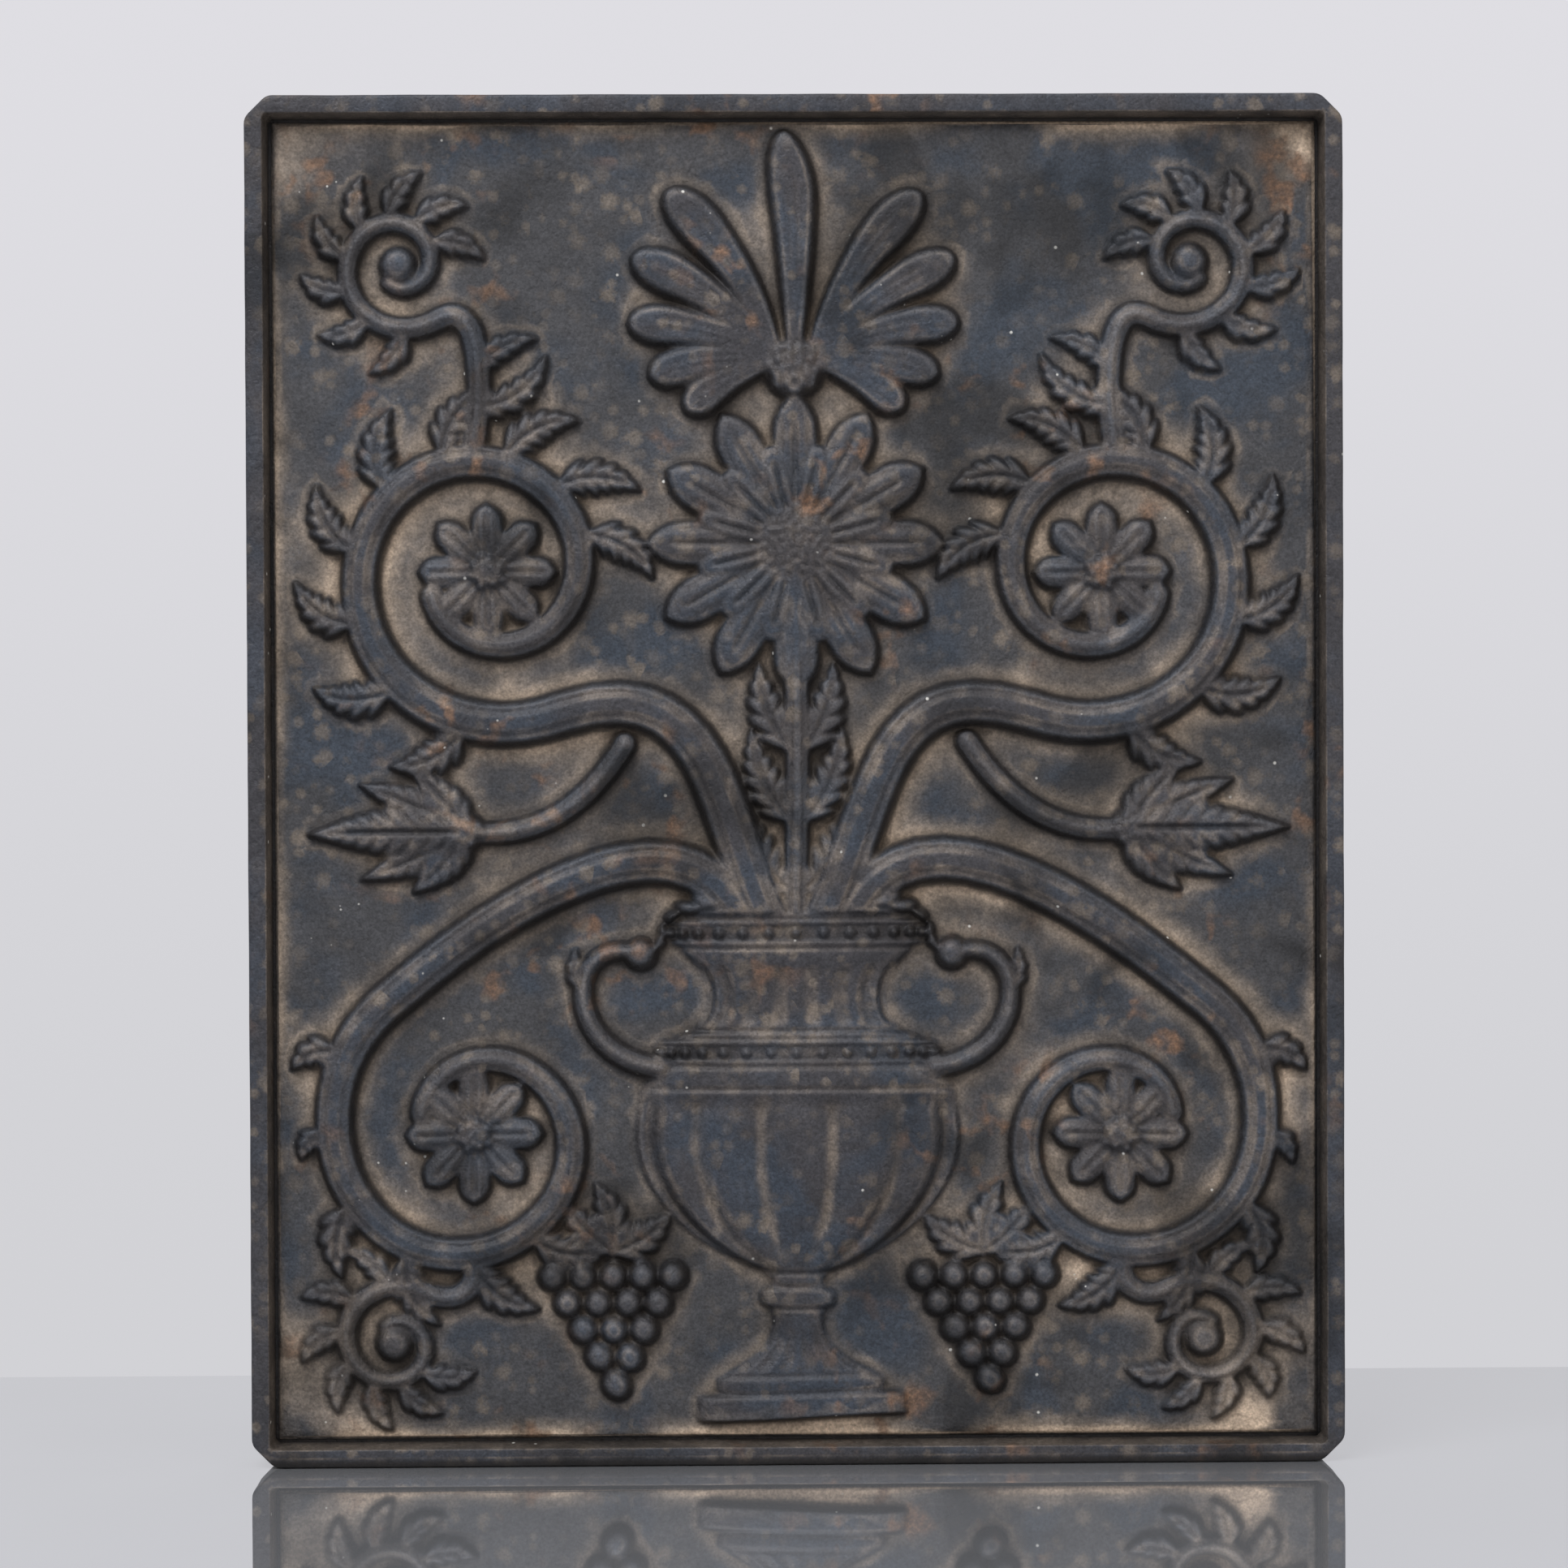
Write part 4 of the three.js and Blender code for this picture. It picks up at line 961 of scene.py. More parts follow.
    def urn(self):
        """The urn, in front of the stems that rise from it."""
        u = URN
        low = self.field_low + u["from_bottom"]
        stem, bowl, neck, lip = u["stem"], u["bowl"], u["neck"], u["lip"]
        profile = np.array([
            [u["plinth"], 0], [u["plinth"], 8], [u["foot"], 9],
            *bezier([(u["foot"], 14), (0.6 * u["foot"], 20), (stem, 24), (stem, 36)], 8),
            [u["knop"], 40], [u["knop"], 44], [stem, 48],
            *bezier([(1.47 * stem, 52), (0.67 * bowl, 60), (bowl, 80), (bowl, 102)], 12),
            [0.97 * bowl, 118], [0.87 * bowl, 128], [0.9 * bowl, 129], [0.9 * bowl, 135],
            *bezier([(1.21 * neck, 140), (0.9 * neck, 147), (0.9 * neck, 162), (lip, 173)], 10),
            [lip, 179], [0.88 * lip, 183],
        ])
        top = low + profile[-1, 1]
        window = self.window(point(-u["bowl"], low), point(u["bowl"], top))
        x, z = np.meshgrid(self.x[window[1]], self.z[window[0]] - low)
        half = np.interp(z, profile[:, 1], profile[:, 0])
        out = np.clip(np.abs(x) / half, 0, 1)
        peak = u["height"] * (0.36 + 0.64 * half / u["bowl"])
        raised = peak * (1 - out**2.4) ** 0.5
        around = np.arcsin(out)

        gadroons = np.abs(np.cos(7 * around)) ** 0.9 * np.clip((117 - z) / 9, 0, 1) ** 0.5
        raised -= 3.0 * within(z, 50, 68, 112, 117) * (1 - gadroons)
        for depth, number, limits in URN_FLUTES:
            raised -= depth * np.abs(np.sin(number * around)) ** 2 * within(z, *limits)
        raised -= 1.7 * (within(z, 128.6, 129.4, 134.6, 135.4) + within(z, 172.6, 173.4, 178.6, 179.4))
        for level in URN_GROOVES:
            raised -= groove(z - level, 0.8, 1.3)
        inside = (z >= 0) & (z <= profile[-1, 1]) & (np.abs(x) < half)
        self.height[window] = np.where(inside, np.maximum(raised, 0.3), self.height[window])

        for half_row, level, count, bead in ((0.86 * u["bowl"], 132, 17, 3.1), (u["lip"], 176, 15, 3.0)):
            for k in range(count):
                angle = math.pi * (k + 0.5) / count - math.pi / 2
                centre = point(half_row * math.sin(angle), low + level)
                self.dome(centre, bead * (0.45 + 0.55 * math.cos(angle)), 4.6 + 3.6 * math.cos(angle))

    def handle(self):
        low = self.field_low + URN["from_bottom"]
        out = URN["bowl"] + 26
        end = point(URN["lip"] + 9, low + 168.4)
        start = point(URN["bowl"] * 0.84, low + 126.3)
        curve = bezier([start, point(out, low + 129.9), point(out, low + 177.5), end])
        self.bar(curve, 9, 7, 6.4)
        self.dome(end, 6.5, 7)
        self.leaf(curve[13], 60, 16, 8, 40, 5)

    # -- sprays, palmette, grapes and small leaves

    def flower_spray(self):
        size = FLOWER_SPRAY
        heart = point(self.field_half - size["from_side"], HEIGHT / 2 + size["from_middle"])
        root = self.middle(UPPER_SCROLL) + point(-50, -62)
        stalk = bezier([root, root + point(12, -20), heart + point(-28, -4), heart])
        self.bar(stalk, 9, 9, 5.6)
        for heading in (62, -62, 31, -31):
            share = 0.52 if abs(heading) > 45 else 0.73
            length, width = share * size["length"], 0.78 * size["width"]
            self.leaf(heart, heading, length, width, -0.4 * heading, 0.8 * size["height"], 0.04)
        self.leaf(heart, 0, size["length"], size["width"], 0, size["height"], 0.04)
        self.dome(heart, 8, 0.85 * size["height"])
        self.seeds(heart, 6.2, size["height"], 12, 2.1)

    def palmette_half(self):
        p = PALMETTE
        foot = point(0, self.field_high - p["from_top"])
        for k in range(p["fronds"], 0, -1):
            length = p["length"] - p["shorter"] * k
            heading = p["heading"] - p["step"] * k
            height = p["height"] - p["side_drop"]
            self.frond(foot + point(6, 2), heading, length, p["width"] - k, p["bend"], height)

    def palmette_centre(self):
        p = PALMETTE
        foot = point(0, self.field_high - p["from_top"])
        self.frond(foot, 90, p["length"], p["width"], 0, p["height"])
        self.dome(foot, p["foot"], p["height"] - 0.6, 0.4)
        self.seeds(foot, 0.78 * p["foot"], p["height"] + 0.8, 19, 2.4)

    def grape_bunch(self):
        size = GRAPES
        top = point(size["from_middle"], self.field_low + size["from_bottom"])
        for heading in (168, 95, 30):
            bend = -40 if heading > 90 else 30
            self.leaf(top + point(0, 9), heading, 26, 15, bend, 5.2)
        for row in range(size["rows"]):
            in_row = size["rows"] - row
            for k in range(in_row):
                shift = (k - (in_row - 1) / 2) * size["pitch"]
                centre = top + point(shift, -row * size["pitch"] * 0.87)
                self.dome(centre, size["radius"], size["height"] - 0.3 * row)

    def small_leaves(self):
        for k in range(3):
            base = point(3, self.mouth + 14 + 26 * k)
            self.leaf(base, 44 + 4 * k, 40 - 3 * k, 16, 40, 5.8)
        twig = self.on_scroll(UPPER_SCROLL, 82)
        self.leaf(point(8, self.mouth + 36) + point(14, -28), 8, 36, 15, -72, 8.4)
        self.leaf(twig + point(-2, 20), 178, 34, 13, -70, 5.6)
        self.leaf(twig + point(-2, 34), 128, 26, 11, 50, 5.2)

    def both_sides(self):
        """Copies the right half of what is carved so far to the left."""
        self.height = np.maximum(self.height, self.height[:, ::-1])

    def carve(self):
        mouth = self.mouth
        top_root = self.on_scroll(UPPER_SCROLL, 82)
        bottom_root = self.on_scroll(LOWER_SCROLL, -88)
        self.scroll(UPPER_SCROLL, point(9, mouth), point(30, mouth + 42))
        self.scroll(LOWER_SCROLL, point(17, mouth), point(40, mouth + 52))
        self.scroll(TOP_CURL, top_root, top_root + point(-5, 24))
        self.scroll(BOTTOM_CURL, bottom_root, bottom_root + point(-5, -12))
        self.scroll_leaves(UPPER_SCROLL, SCROLL_LEAF, range(-80, 161, 30))
        self.scroll_leaves(LOWER_SCROLL, SCROLL_LEAF, range(30, -121, -30))
        self.scroll_leaves(TOP_CURL, CURL_LEAF, range(-95, 151, 35))
        self.scroll_leaves(BOTTOM_CURL, CURL_LEAF, range(84, -133, -36))
        self.flower(self.middle(UPPER_SCROLL), SCROLL_FLOWER, False, 14)
        self.flower(self.middle(LOWER_SCROLL), SCROLL_FLOWER, False, 14)
        for curl in (TOP_CURL, BOTTOM_CURL):
            self.dome(self.middle(curl), BUD["radius"], BUD["height"])
        self.flower_spray()
        self.grape_bunch()
        self.small_leaves()
        self.palmette_half()
        self.both_sides()
        heart = point(0, self.field_high - SUNFLOWER["from_top"])
        self.bar(bezier([point(0, mouth + 4), point(0, mouth + 60), heart]), 10, 10, 7)
        self.flower(heart, SUNFLOWER, True, 55)
        self.palmette_centre()
        self.urn()
        self.handle()
        self.both_sides()

    # -- what casting and years do to it, and painted shade

    def softened(self, field, sigma, outside=None):
        """The field blurred over a distance, with a rim of one height outside it."""
        reach = math.ceil(3 * sigma / self.step)
        kernel = np.exp(-0.5 * (np.arange(-reach, reach + 1) * self.step / sigma) ** 2)
        kernel /= kernel.sum()
        if outside is None:
            padded = np.pad(field, reach, mode="edge")
        else:
            padded = np.pad(field, reach, constant_values=outside)
        rows, columns = field.shape
        across = sum(w * padded[:, k : k + columns] for k, w in enumerate(kernel))
        return sum(w * across[k : k + rows] for k, w in enumerate(kernel))

    def clouds(self, size):
        """Smooth random clouds of about one size, from about -2 to 2."""
        raw = self.softened(self.random.standard_normal(self.height.shape), size / 4)
        return raw / raw.std()

    def sampled(self, field, x, z):
        """The field's values at any places, straight between its points."""
        column = np.clip((x - self.x[0]) / (self.x[1] - self.x[0]), 0, len(self.x) - 1.001)
        row = np.clip((z - self.z[0]) / (self.z[1] - self.z[0]), 0, len(self.z) - 1.001)
        c, r = column.astype(int), row.astype(int)
        u, v = column - c, row - r
        lower = field[r, c] * (1 - u) + field[r, c + 1] * u
        upper = field[r + 1, c] * (1 - u) + field[r + 1, c + 1] * u
        return lower * (1 - v) + upper * v

    def weather(self, sizes, highest):
        """Gives the drawing its hand-carved strays, casting and dust."""
        x, z = np.meshgrid(self.x, self.z)
        stray_x, stray_z = self.clouds(90), self.clouds(90)
        strayed = self.sampled(self.height, x + sizes.hand * stray_x, z + sizes.hand * stray_z)
        cast = self.softened(strayed, sizes.softness)
        rim = np.minimum.reduce([x - self.x[0], self.x[-1] - x, z - self.z[0], self.z[-1] - z])
        bevel = np.clip(rim / self.edge, 0, 1)
        inner = np.clip(rim / 3 - self.edge / 3, 0, 1)
        slow = np.clip(self.clouds(70), -2, 2)
        uneven_ground = sizes.undulation * slow + 0.05 * self.clouds(9)
        worn = cast * inner + uneven_ground * inner
        self.height = np.minimum(worn, highest) - self.edge * (1 - bevel)
        self.settle(cast, x, z)

    def settle(self, cast, x, z):
        """Where dust, soot with painted shade, and wear lie on the casting, in the order of MARKS."""
        ends = np.minimum(z - self.z[0], self.z[-1] - z)
        sides = np.minimum(x - self.x[0], self.x[-1] - x)

        # Dust lies in what is enclosed and along the border, most of all in its corners.
        drifted = np.clip(1 + 0.38 * self.clouds(45), 0.2, 1.8)
        enclosed = self.softened(cast, 6.5, outside=1.5) - cast
        along = np.maximum(0.95 * np.exp(-ends / 3.6), 0.55 * np.exp(-sides / 3.2))
        reach = np.where(z < 0.5 * HEIGHT, 26, 15)
        along = np.maximum(along, 1.3 * np.exp(-np.hypot(ends, sides) / reach))
        dust = np.clip(np.maximum(enclosed / 5.0, along) * drifted, 0, 1)

        # Soot and painted shade lie on steep sides, the painted shade most where they look down or
        # right, away from the window. Soot and painted shade also lie in fine grooves, valleys and what
        # is narrow.
        rise, run = np.gradient(cast, self.step)
        slope = np.hypot(rise, run)
        under = 1 + 0.2 * (rise - 0.6 * run) / np.maximum(slope, 0.1)
        steep = np.clip((slope - 0.30) / 1.2, 0, 1) * under
        incised = np.clip((self.softened(cast, 1.0) - cast) / 0.40, 0, 1)
        valley = np.clip((self.softened(cast, 2.4) - cast) / 1.3, 0, 1) * (cast > 1.5)
        narrow = np.clip((self.softened(cast, 3.5) - cast - 4.2) / 2.0, 0, 1)

        # A dark joint runs along the border, with painted shade beside it, widest at its upright sides.
        edge = 0.4 * np.clip(1.2 - np.minimum(sides, ends), 0, 1)
        shaded = 0.38 * np.clip(1 - sides / 4.5, 0, 1) * np.clip(1 + 0.3 * self.clouds(30), 0, 1.4)
        raw_soot_and_shade = np.maximum.reduce([0.9 * steep, 0.6 * incised, 0.65 * valley, 0.8 * narrow])
        raw_soot_and_shade = np.maximum(1.15 * self.softened(raw_soot_and_shade, 1.0), shaded)
        crease = np.clip(np.maximum(raw_soot_and_shade, edge), 0, 1)
        wear = np.clip((cast - self.softened(cast, 2.0)) / 1.1, 0, 1)
        self.marks = dust, crease, wear, 1 - np.clip(cast / 1.2, 0, 1)


def carved_surface(name, carving, front):
    """The carved field as a surface whose ground lies at a front plane."""
    rows, columns = carving.height.shape
    x, z = np.meshgrid(carving.x, carving.z)
    vertices = np.stack([x, -(front + carving.height), z], -1).reshape(-1, 3) * MM
    index = np.arange(rows * columns).reshape(rows, columns)
    faces = np.stack([index[:-1, :-1], index[:-1, 1:], index[1:, 1:], index[1:, :-1]], -1)
    mesh = bpy.data.meshes.new(name)
    mesh.vertices.add(len(vertices))
    mesh.vertices.foreach_set("co", vertices.ravel())
    mesh.loops.add(faces.size)
    mesh.loops.foreach_set("vertex_index", faces.ravel())
    mesh.polygons.add(faces.size // 4)
    mesh.polygons.foreach_set("loop_start", np.arange(0, faces.size, 4))
    mesh.update(calc_edges=True)
    return new_object(name, mesh)


def backed(obj, back):
    """Closes a carved surface with straight sides and a flat back."""
    bm = bmesh.new()
    bm.from_mesh(obj.data)
    rim = [edge for edge in bm.edges if edge.is_boundary]
    drawn = bmesh.ops.extrude_edge_only(bm, edges=rim)["geom"]
    for item in drawn:
        if isinstance(item, bmesh.types.BMVert):
            item.co.y = -back * MM
    behind = [edge for edge in bm.edges if edge.is_boundary]
    bmesh.ops.edgeloop_fill(bm, edges=behind)
    bmesh.ops.recalc_face_normals(bm, faces=bm.faces)
    bm.to_mesh(obj.data)
    bm.free()
    return obj


# ------------------------------------------------------------------- outlines


def parallel_cut(inset, sizes):
    """The leg of a corner's cut that stays parallel to the outer one."""
    return max(sizes.corner_cut - (2 - math.sqrt(2)) * inset, sizes.inner_corner)


def border_outline(inset, cut, sizes, spacing):
    """The border's outline, drawn in by an inset, always with the same number of points."""
    right = HALF_WIDTH - inset
    low, high = inset, HEIGHT - inset
    ease = min(sizes.corner_ease, 0.4 * cut)
    corners = [
        point(right - cut, low), point(right, low + cut),
        point(right, high - cut), point(right - cut, high),
        point(cut - right, high), point(-right, high - cut),
        point(-right, low + cut), point(cut - right, low),
    ]
    made = []
    for k, corner in enumerate(corners):
        before, after = corners[k - 1], corners[(k + 1) % 8]
        back = (before - corner) / np.hypot(*(before - corner))
        ahead = (after - corner) / np.hypot(*(after - corner))
        made.extend(bezier([corner + ease * back, corner, corner + ease * ahead], 4))
        side = {1: HEIGHT, 3: 2 * HALF_WIDTH}.get(k % 4, 0)  # a cut's own line gets no more points
        count = round(side / spacing)
        start = corner + ease * ahead
        end = after - ease * ahead
        made.extend(start + (end - start) * n / (count + 1) for n in range(1, count + 1))
    return made


def plate_seat():
    """The front plane of the plate's flange, close behind the border's lip."""
    return FACE - Sizes("fireback_border").lip_depth - SEAT_GAP


# ------------------------------------------------------------------ operators


class FIREBACK_OT_border(bpy.types.Operator):
    """Casts the deep border with its cut corners, sloping inner wall and rebate"""

    bl_idname = "fireback.border"
    bl_label = "Border"

    def execute(self, context):
        s = Sizes("fireback_border")
        lip_back = FACE - s.lip_depth
        r = s.edge_round
        inner = s.inner_round
        tight, lip_round = 0.8, 0.6  # rounding inside the rebate and at the lip's back edge
        section = [
            *arc(r, FACE - r, r, 90, 180, 4),
            *[(0, FACE - r - (FACE + BACK - 2 * r) * k / 7) for k in range(1, 7)],
            *arc(r, -BACK + r, r, 180, 270, 4),
            (0.5 * (r + s.wall), -BACK),
            *arc(s.wall - tight, -BACK + tight, tight, 270, 360, 2),
            (s.wall, -BACK + 5),
            (s.wall, lip_back - 4),
            *arc(s.wall + tight, lip_back - tight, tight, 180, 90, 2),
            *arc(s.lip_width - lip_round, lip_back + lip_round, lip_round, -90, 0, 2),
            *[
                (
                    s.lip_width + (s.face_width - s.lip_width) * k / 4,
                    lip_back + lip_round + (s.lip_depth - lip_round - inner) * k / 4,
                )
                for k in range(1, 4)
            ],
            *arc(s.face_width - inner + 0.2, FACE - inner, inner, 0, 90, 3),
            (0.5 * (s.face_width + r), FACE),
        ]
        loops = []
        for inset, front in section:
            cut = parallel_cut(inset, s)
            if inset > s.face_width or front > lip_back + 0.1:
                squared = min(inset / s.face_width, 1)
                cut = s.corner_cut + (s.inner_corner - s.corner_cut) * squared
            flat = border_outline(inset, cut, s, s.spacing)
            loops.append([(x, -front, z) for x, z in flat])
        border = skinned("border_casting", loops)
        resting = positions(border)[:, 2] < 0.01
        iron = cast_iron("Blackened cast iron, border", 1.1, bright=0.96, cooled=0.4, seed=3)
        values = {
            "Unevenness": s.unevenness * MM,
            "Ripple": s.ripple * MM,
            "Seed": 11,
            "Material": iron,
        }
        through_tree(border, unevenness_tree, "Cast Unevenness", values)
        at = positions(border)
        at[resting, 2] = 0
        border.data.vertices.foreach_set("co", (at * MM).ravel())
        inset = np.minimum.reduce([HALF_WIDTH - np.abs(at[:, 0]), at[:, 2], HEIGHT - at[:, 2]])
        front = -at[:, 1]
        # Painted shade: the inner wall darker the deeper it goes, and a dark band along the bottom edge.
        wall = np.clip((inset - s.face_width + 0.6) / 0.6, 0, 1) * (front > 0)
        deep = np.clip((FACE - front) / s.lip_depth, 0, 1)
        foot = 0.95 * np.clip((4.0 - at[:, 2]) / 2.4, 0, 1)
        store(border, "crease", np.maximum(wall * (0.6 + 0.4 * deep**3), foot))
        store(border, "dust", 0.4 * wall)
        store(border, "low", 0)
        store(border, "wear", np.clip(1.1 - np.hypot(inset, FACE - front) / 1.4, 0, 1))
        shade(border, 42)
        finish_piece(border, "plate", "border_iron", iron, "border_frame")
        return {"FINISHED"}


class FIREBACK_OT_relief(bpy.types.Operator):
    """Carves the relief, and casts it as the raised front of the plate"""

    bl_idname = "fireback.relief"
    bl_label = "Relief"

    def execute(self, context):
        s = Sizes("fireback_relief")
        ground = FACE - s.ground_depth
        carving = Carving(s, context.scene.fireback_stage.seed)
        carving.carve()
        carving.weather(s, s.ground_depth - 0.06)
        flange_front = -box_mm("relief_plate")[0].y
        relief = carved_surface("relief_carving", carving, ground)
        thinner = relief.modifiers.new("Thin", "DECIMATE")
        thinner.ratio = min(1.0, s.triangles / (2 * carving.height.size))
        backed(baked(relief), min(plate_seat(), flange_front) - 0.7)
        at = positions(relief)
        on_front = -at[:, 1] > ground - carving.edge - 0.1
        for name, field in zip(MARKS, carving.marks):
            store(relief, name, carving.sampled(field, at[:, 0], at[:, 2]) * on_front)
        relief.data.shade_smooth()
        iron = cast_iron("Blackened cast iron, relief", seed=0)
        finish_piece(relief, "plate", "relief_iron", iron, "relief_plate")
        return {"FINISHED"}


class FIREBACK_OT_plate_back(bpy.types.Operator):
    """Casts the plate's flange, its bosses, and the lugs and stops of the hinges"""

    bl_idname = "fireback.plate_back"
    bl_label = "Plate Back"

    def execute(self, context):
        s = Sizes("fireback_relief")
        feet = Sizes("fireback_feet")
        border = Sizes("fireback_border")
        fixings = Sizes("fireback_fixings")
        iron = cast_iron("Sand-cast iron, back", 0.8, 0.4, seed=9)

        seat = plate_seat()
        back = seat - s.flange
        inset = border.wall + s.side_clearance
        r = 0.8
        section = [
            (140, seat), (60, seat), (20, seat), (inset + 3, seat),
            *arc(inset + r, seat - r, r, 90, 180, 3),
            *arc(inset + r, back + r, r, 180, 270, 3),
            *[(inset + d, back) for d in (3, 8, 16, 28, 44, 64, 88, 112, 140)],
        ]
        loops = []
        for drawn_in, front in section:
            flat = border_outline(drawn_in, parallel_cut(drawn_in, border), border, 9)
            loops.append([(x, -front, z) for x, z in flat])
        flange = skinned("plate_back", loops, ring=False)

        fillet, hole_depth = 2.6, 11
        boss_low, boss_high = -back - SUNK, BACK
        hole = fixings.bolt_radius + fixings.hole_gap
        bottom = boss_high - hole_depth
        foot = s.boss_radius + fillet
        profile = [
            (0, boss_low), (foot, boss_low), (foot, boss_low + SUNK),
            *arc(foot, boss_low + (SUNK + fillet), fillet, 270, 180, 4),
            *arc(s.boss_radius - 0.8, boss_high - 0.8, 0.8, 0, 90, 3),
            (hole + 0.4, boss_high), (hole, boss_high - 0.4), (hole, bottom + 0.2), (0, bottom),
        ]
        boss = turned("boss", profile, 36)
        moved(boss, TO_REAR)
        places = [(x, 0, z, 0) for x, z, _ in clip_places()]
        bosses = copied_to("bosses", boss, places, 0.0, 5, iron)

        lugs = [self.lugs(side, feet, -back) for side in SIDES.values()]
        for solid in (bosses, *lugs):
            combined(flange, solid, "UNION")
        close_up(flange)
        at = positions(flange)
        store(flange, "low", 0.6 * (np.abs(at[:, 1] + back) < 1))
        # Painted shade on the flange's front, in the gap behind the border's lip.
        store(flange, "crease", -at[:, 1] > seat - 0.5)
        for mark in ("dust", "wear"):
            store(flange, mark, 0)
        shade(flange, 35)
        finish_piece(flange, "plate", "relief_iron", iron, "relief_plate")
        return {"FINISHED"}

    def lugs(self, side, feet, back):
        """Both lugs and the stop of one hinge, blended into one casting."""
        x, y = hinge_axis()
        lower_top = box_mm("thrust_washer_right")[0].z - HINGE_GAP
        upper_low = box_mm("foot_right")[1].z + HINGE_GAP
        radius, fillet, sunk = feet.lug_radius, 2, back - SUNK
        foot = radius + fillet
        rim = [(radius, sunk), *arc(0, y, radius, 0, 180, 18), (-radius, sunk)]
        foot_rim = [
            (foot, sunk), (foot, back + 0.3), *arc(foot, back + 2.3, fillet, 270, 180, 3),
            *arc(-foot, back + 2.3, fillet, 0, -90, 3), (-foot, back + 0.3), (-foot, sunk),
        ]
        parts = []
        for low in (lower_top - feet.lug_height, upper_low):
            for name, outline in (("lug", rim), ("lug_foot", foot_rim)):
                parts.append(plank(name, outline, low, low + feet.lug_height))
        stop_width, stop_height = 6, 20
        inner = feet.web_thickness / 2 + HINGE_GAP
        outer = inner + stop_width
        rear = y + feet.barrel_radius + stop_width
        front = rear - 5.7
        low = lower_top - feet.lug_height
        stop = [(inner, front), (outer, front), (outer, rear), (inner, rear)]
        base = [(0, y), (outer, y), (outer, rear), (0, rear)]
        parts.append(plank("stop", stop, low, lower_top + stop_height))
        parts.append(plank("stop_base", base, low, lower_top))
        body = blended(joined("lugs", parts), 1.0, 3)
        drilled(body, feet.pin_radius + HINGE_GAP, low - 2, ABOVE_LUGS, 32, y)
        return to_side(body, side, x, 0)


def clip_places():
    """Each clip bolt's x and z, and the way that its clip points."""
    made = []
    for name in CLIP_NAMES:
        low, high = box_mm(f"clip_bolt_{name}")
        x, z = (low.x + high.x) / 2, (low.z + high.z) / 2
        outwards = math.atan2(z - HEIGHT / 2, 0) if name in ("top", "bottom") else math.atan2(0, x)
        made.append((x, z, outwards))
    return made


def hinge_axis():
    """The x and y of the right-hand hinge pin."""
    low, high = box_mm("thrust_washer_right")
    return (low.x + high.x) / 2, (low.y + high.y) / 2


def lay(item, name, spots, loose, seed, slot, material, nodes):
    """Lays copies of an item on its spots, as one piece that stands for all its nodes."""
    made = copied_to(name, item, spots, loose, seed, material)
    shade(made, 32)
    finish_piece(made, "plate", slot, material, *nodes)


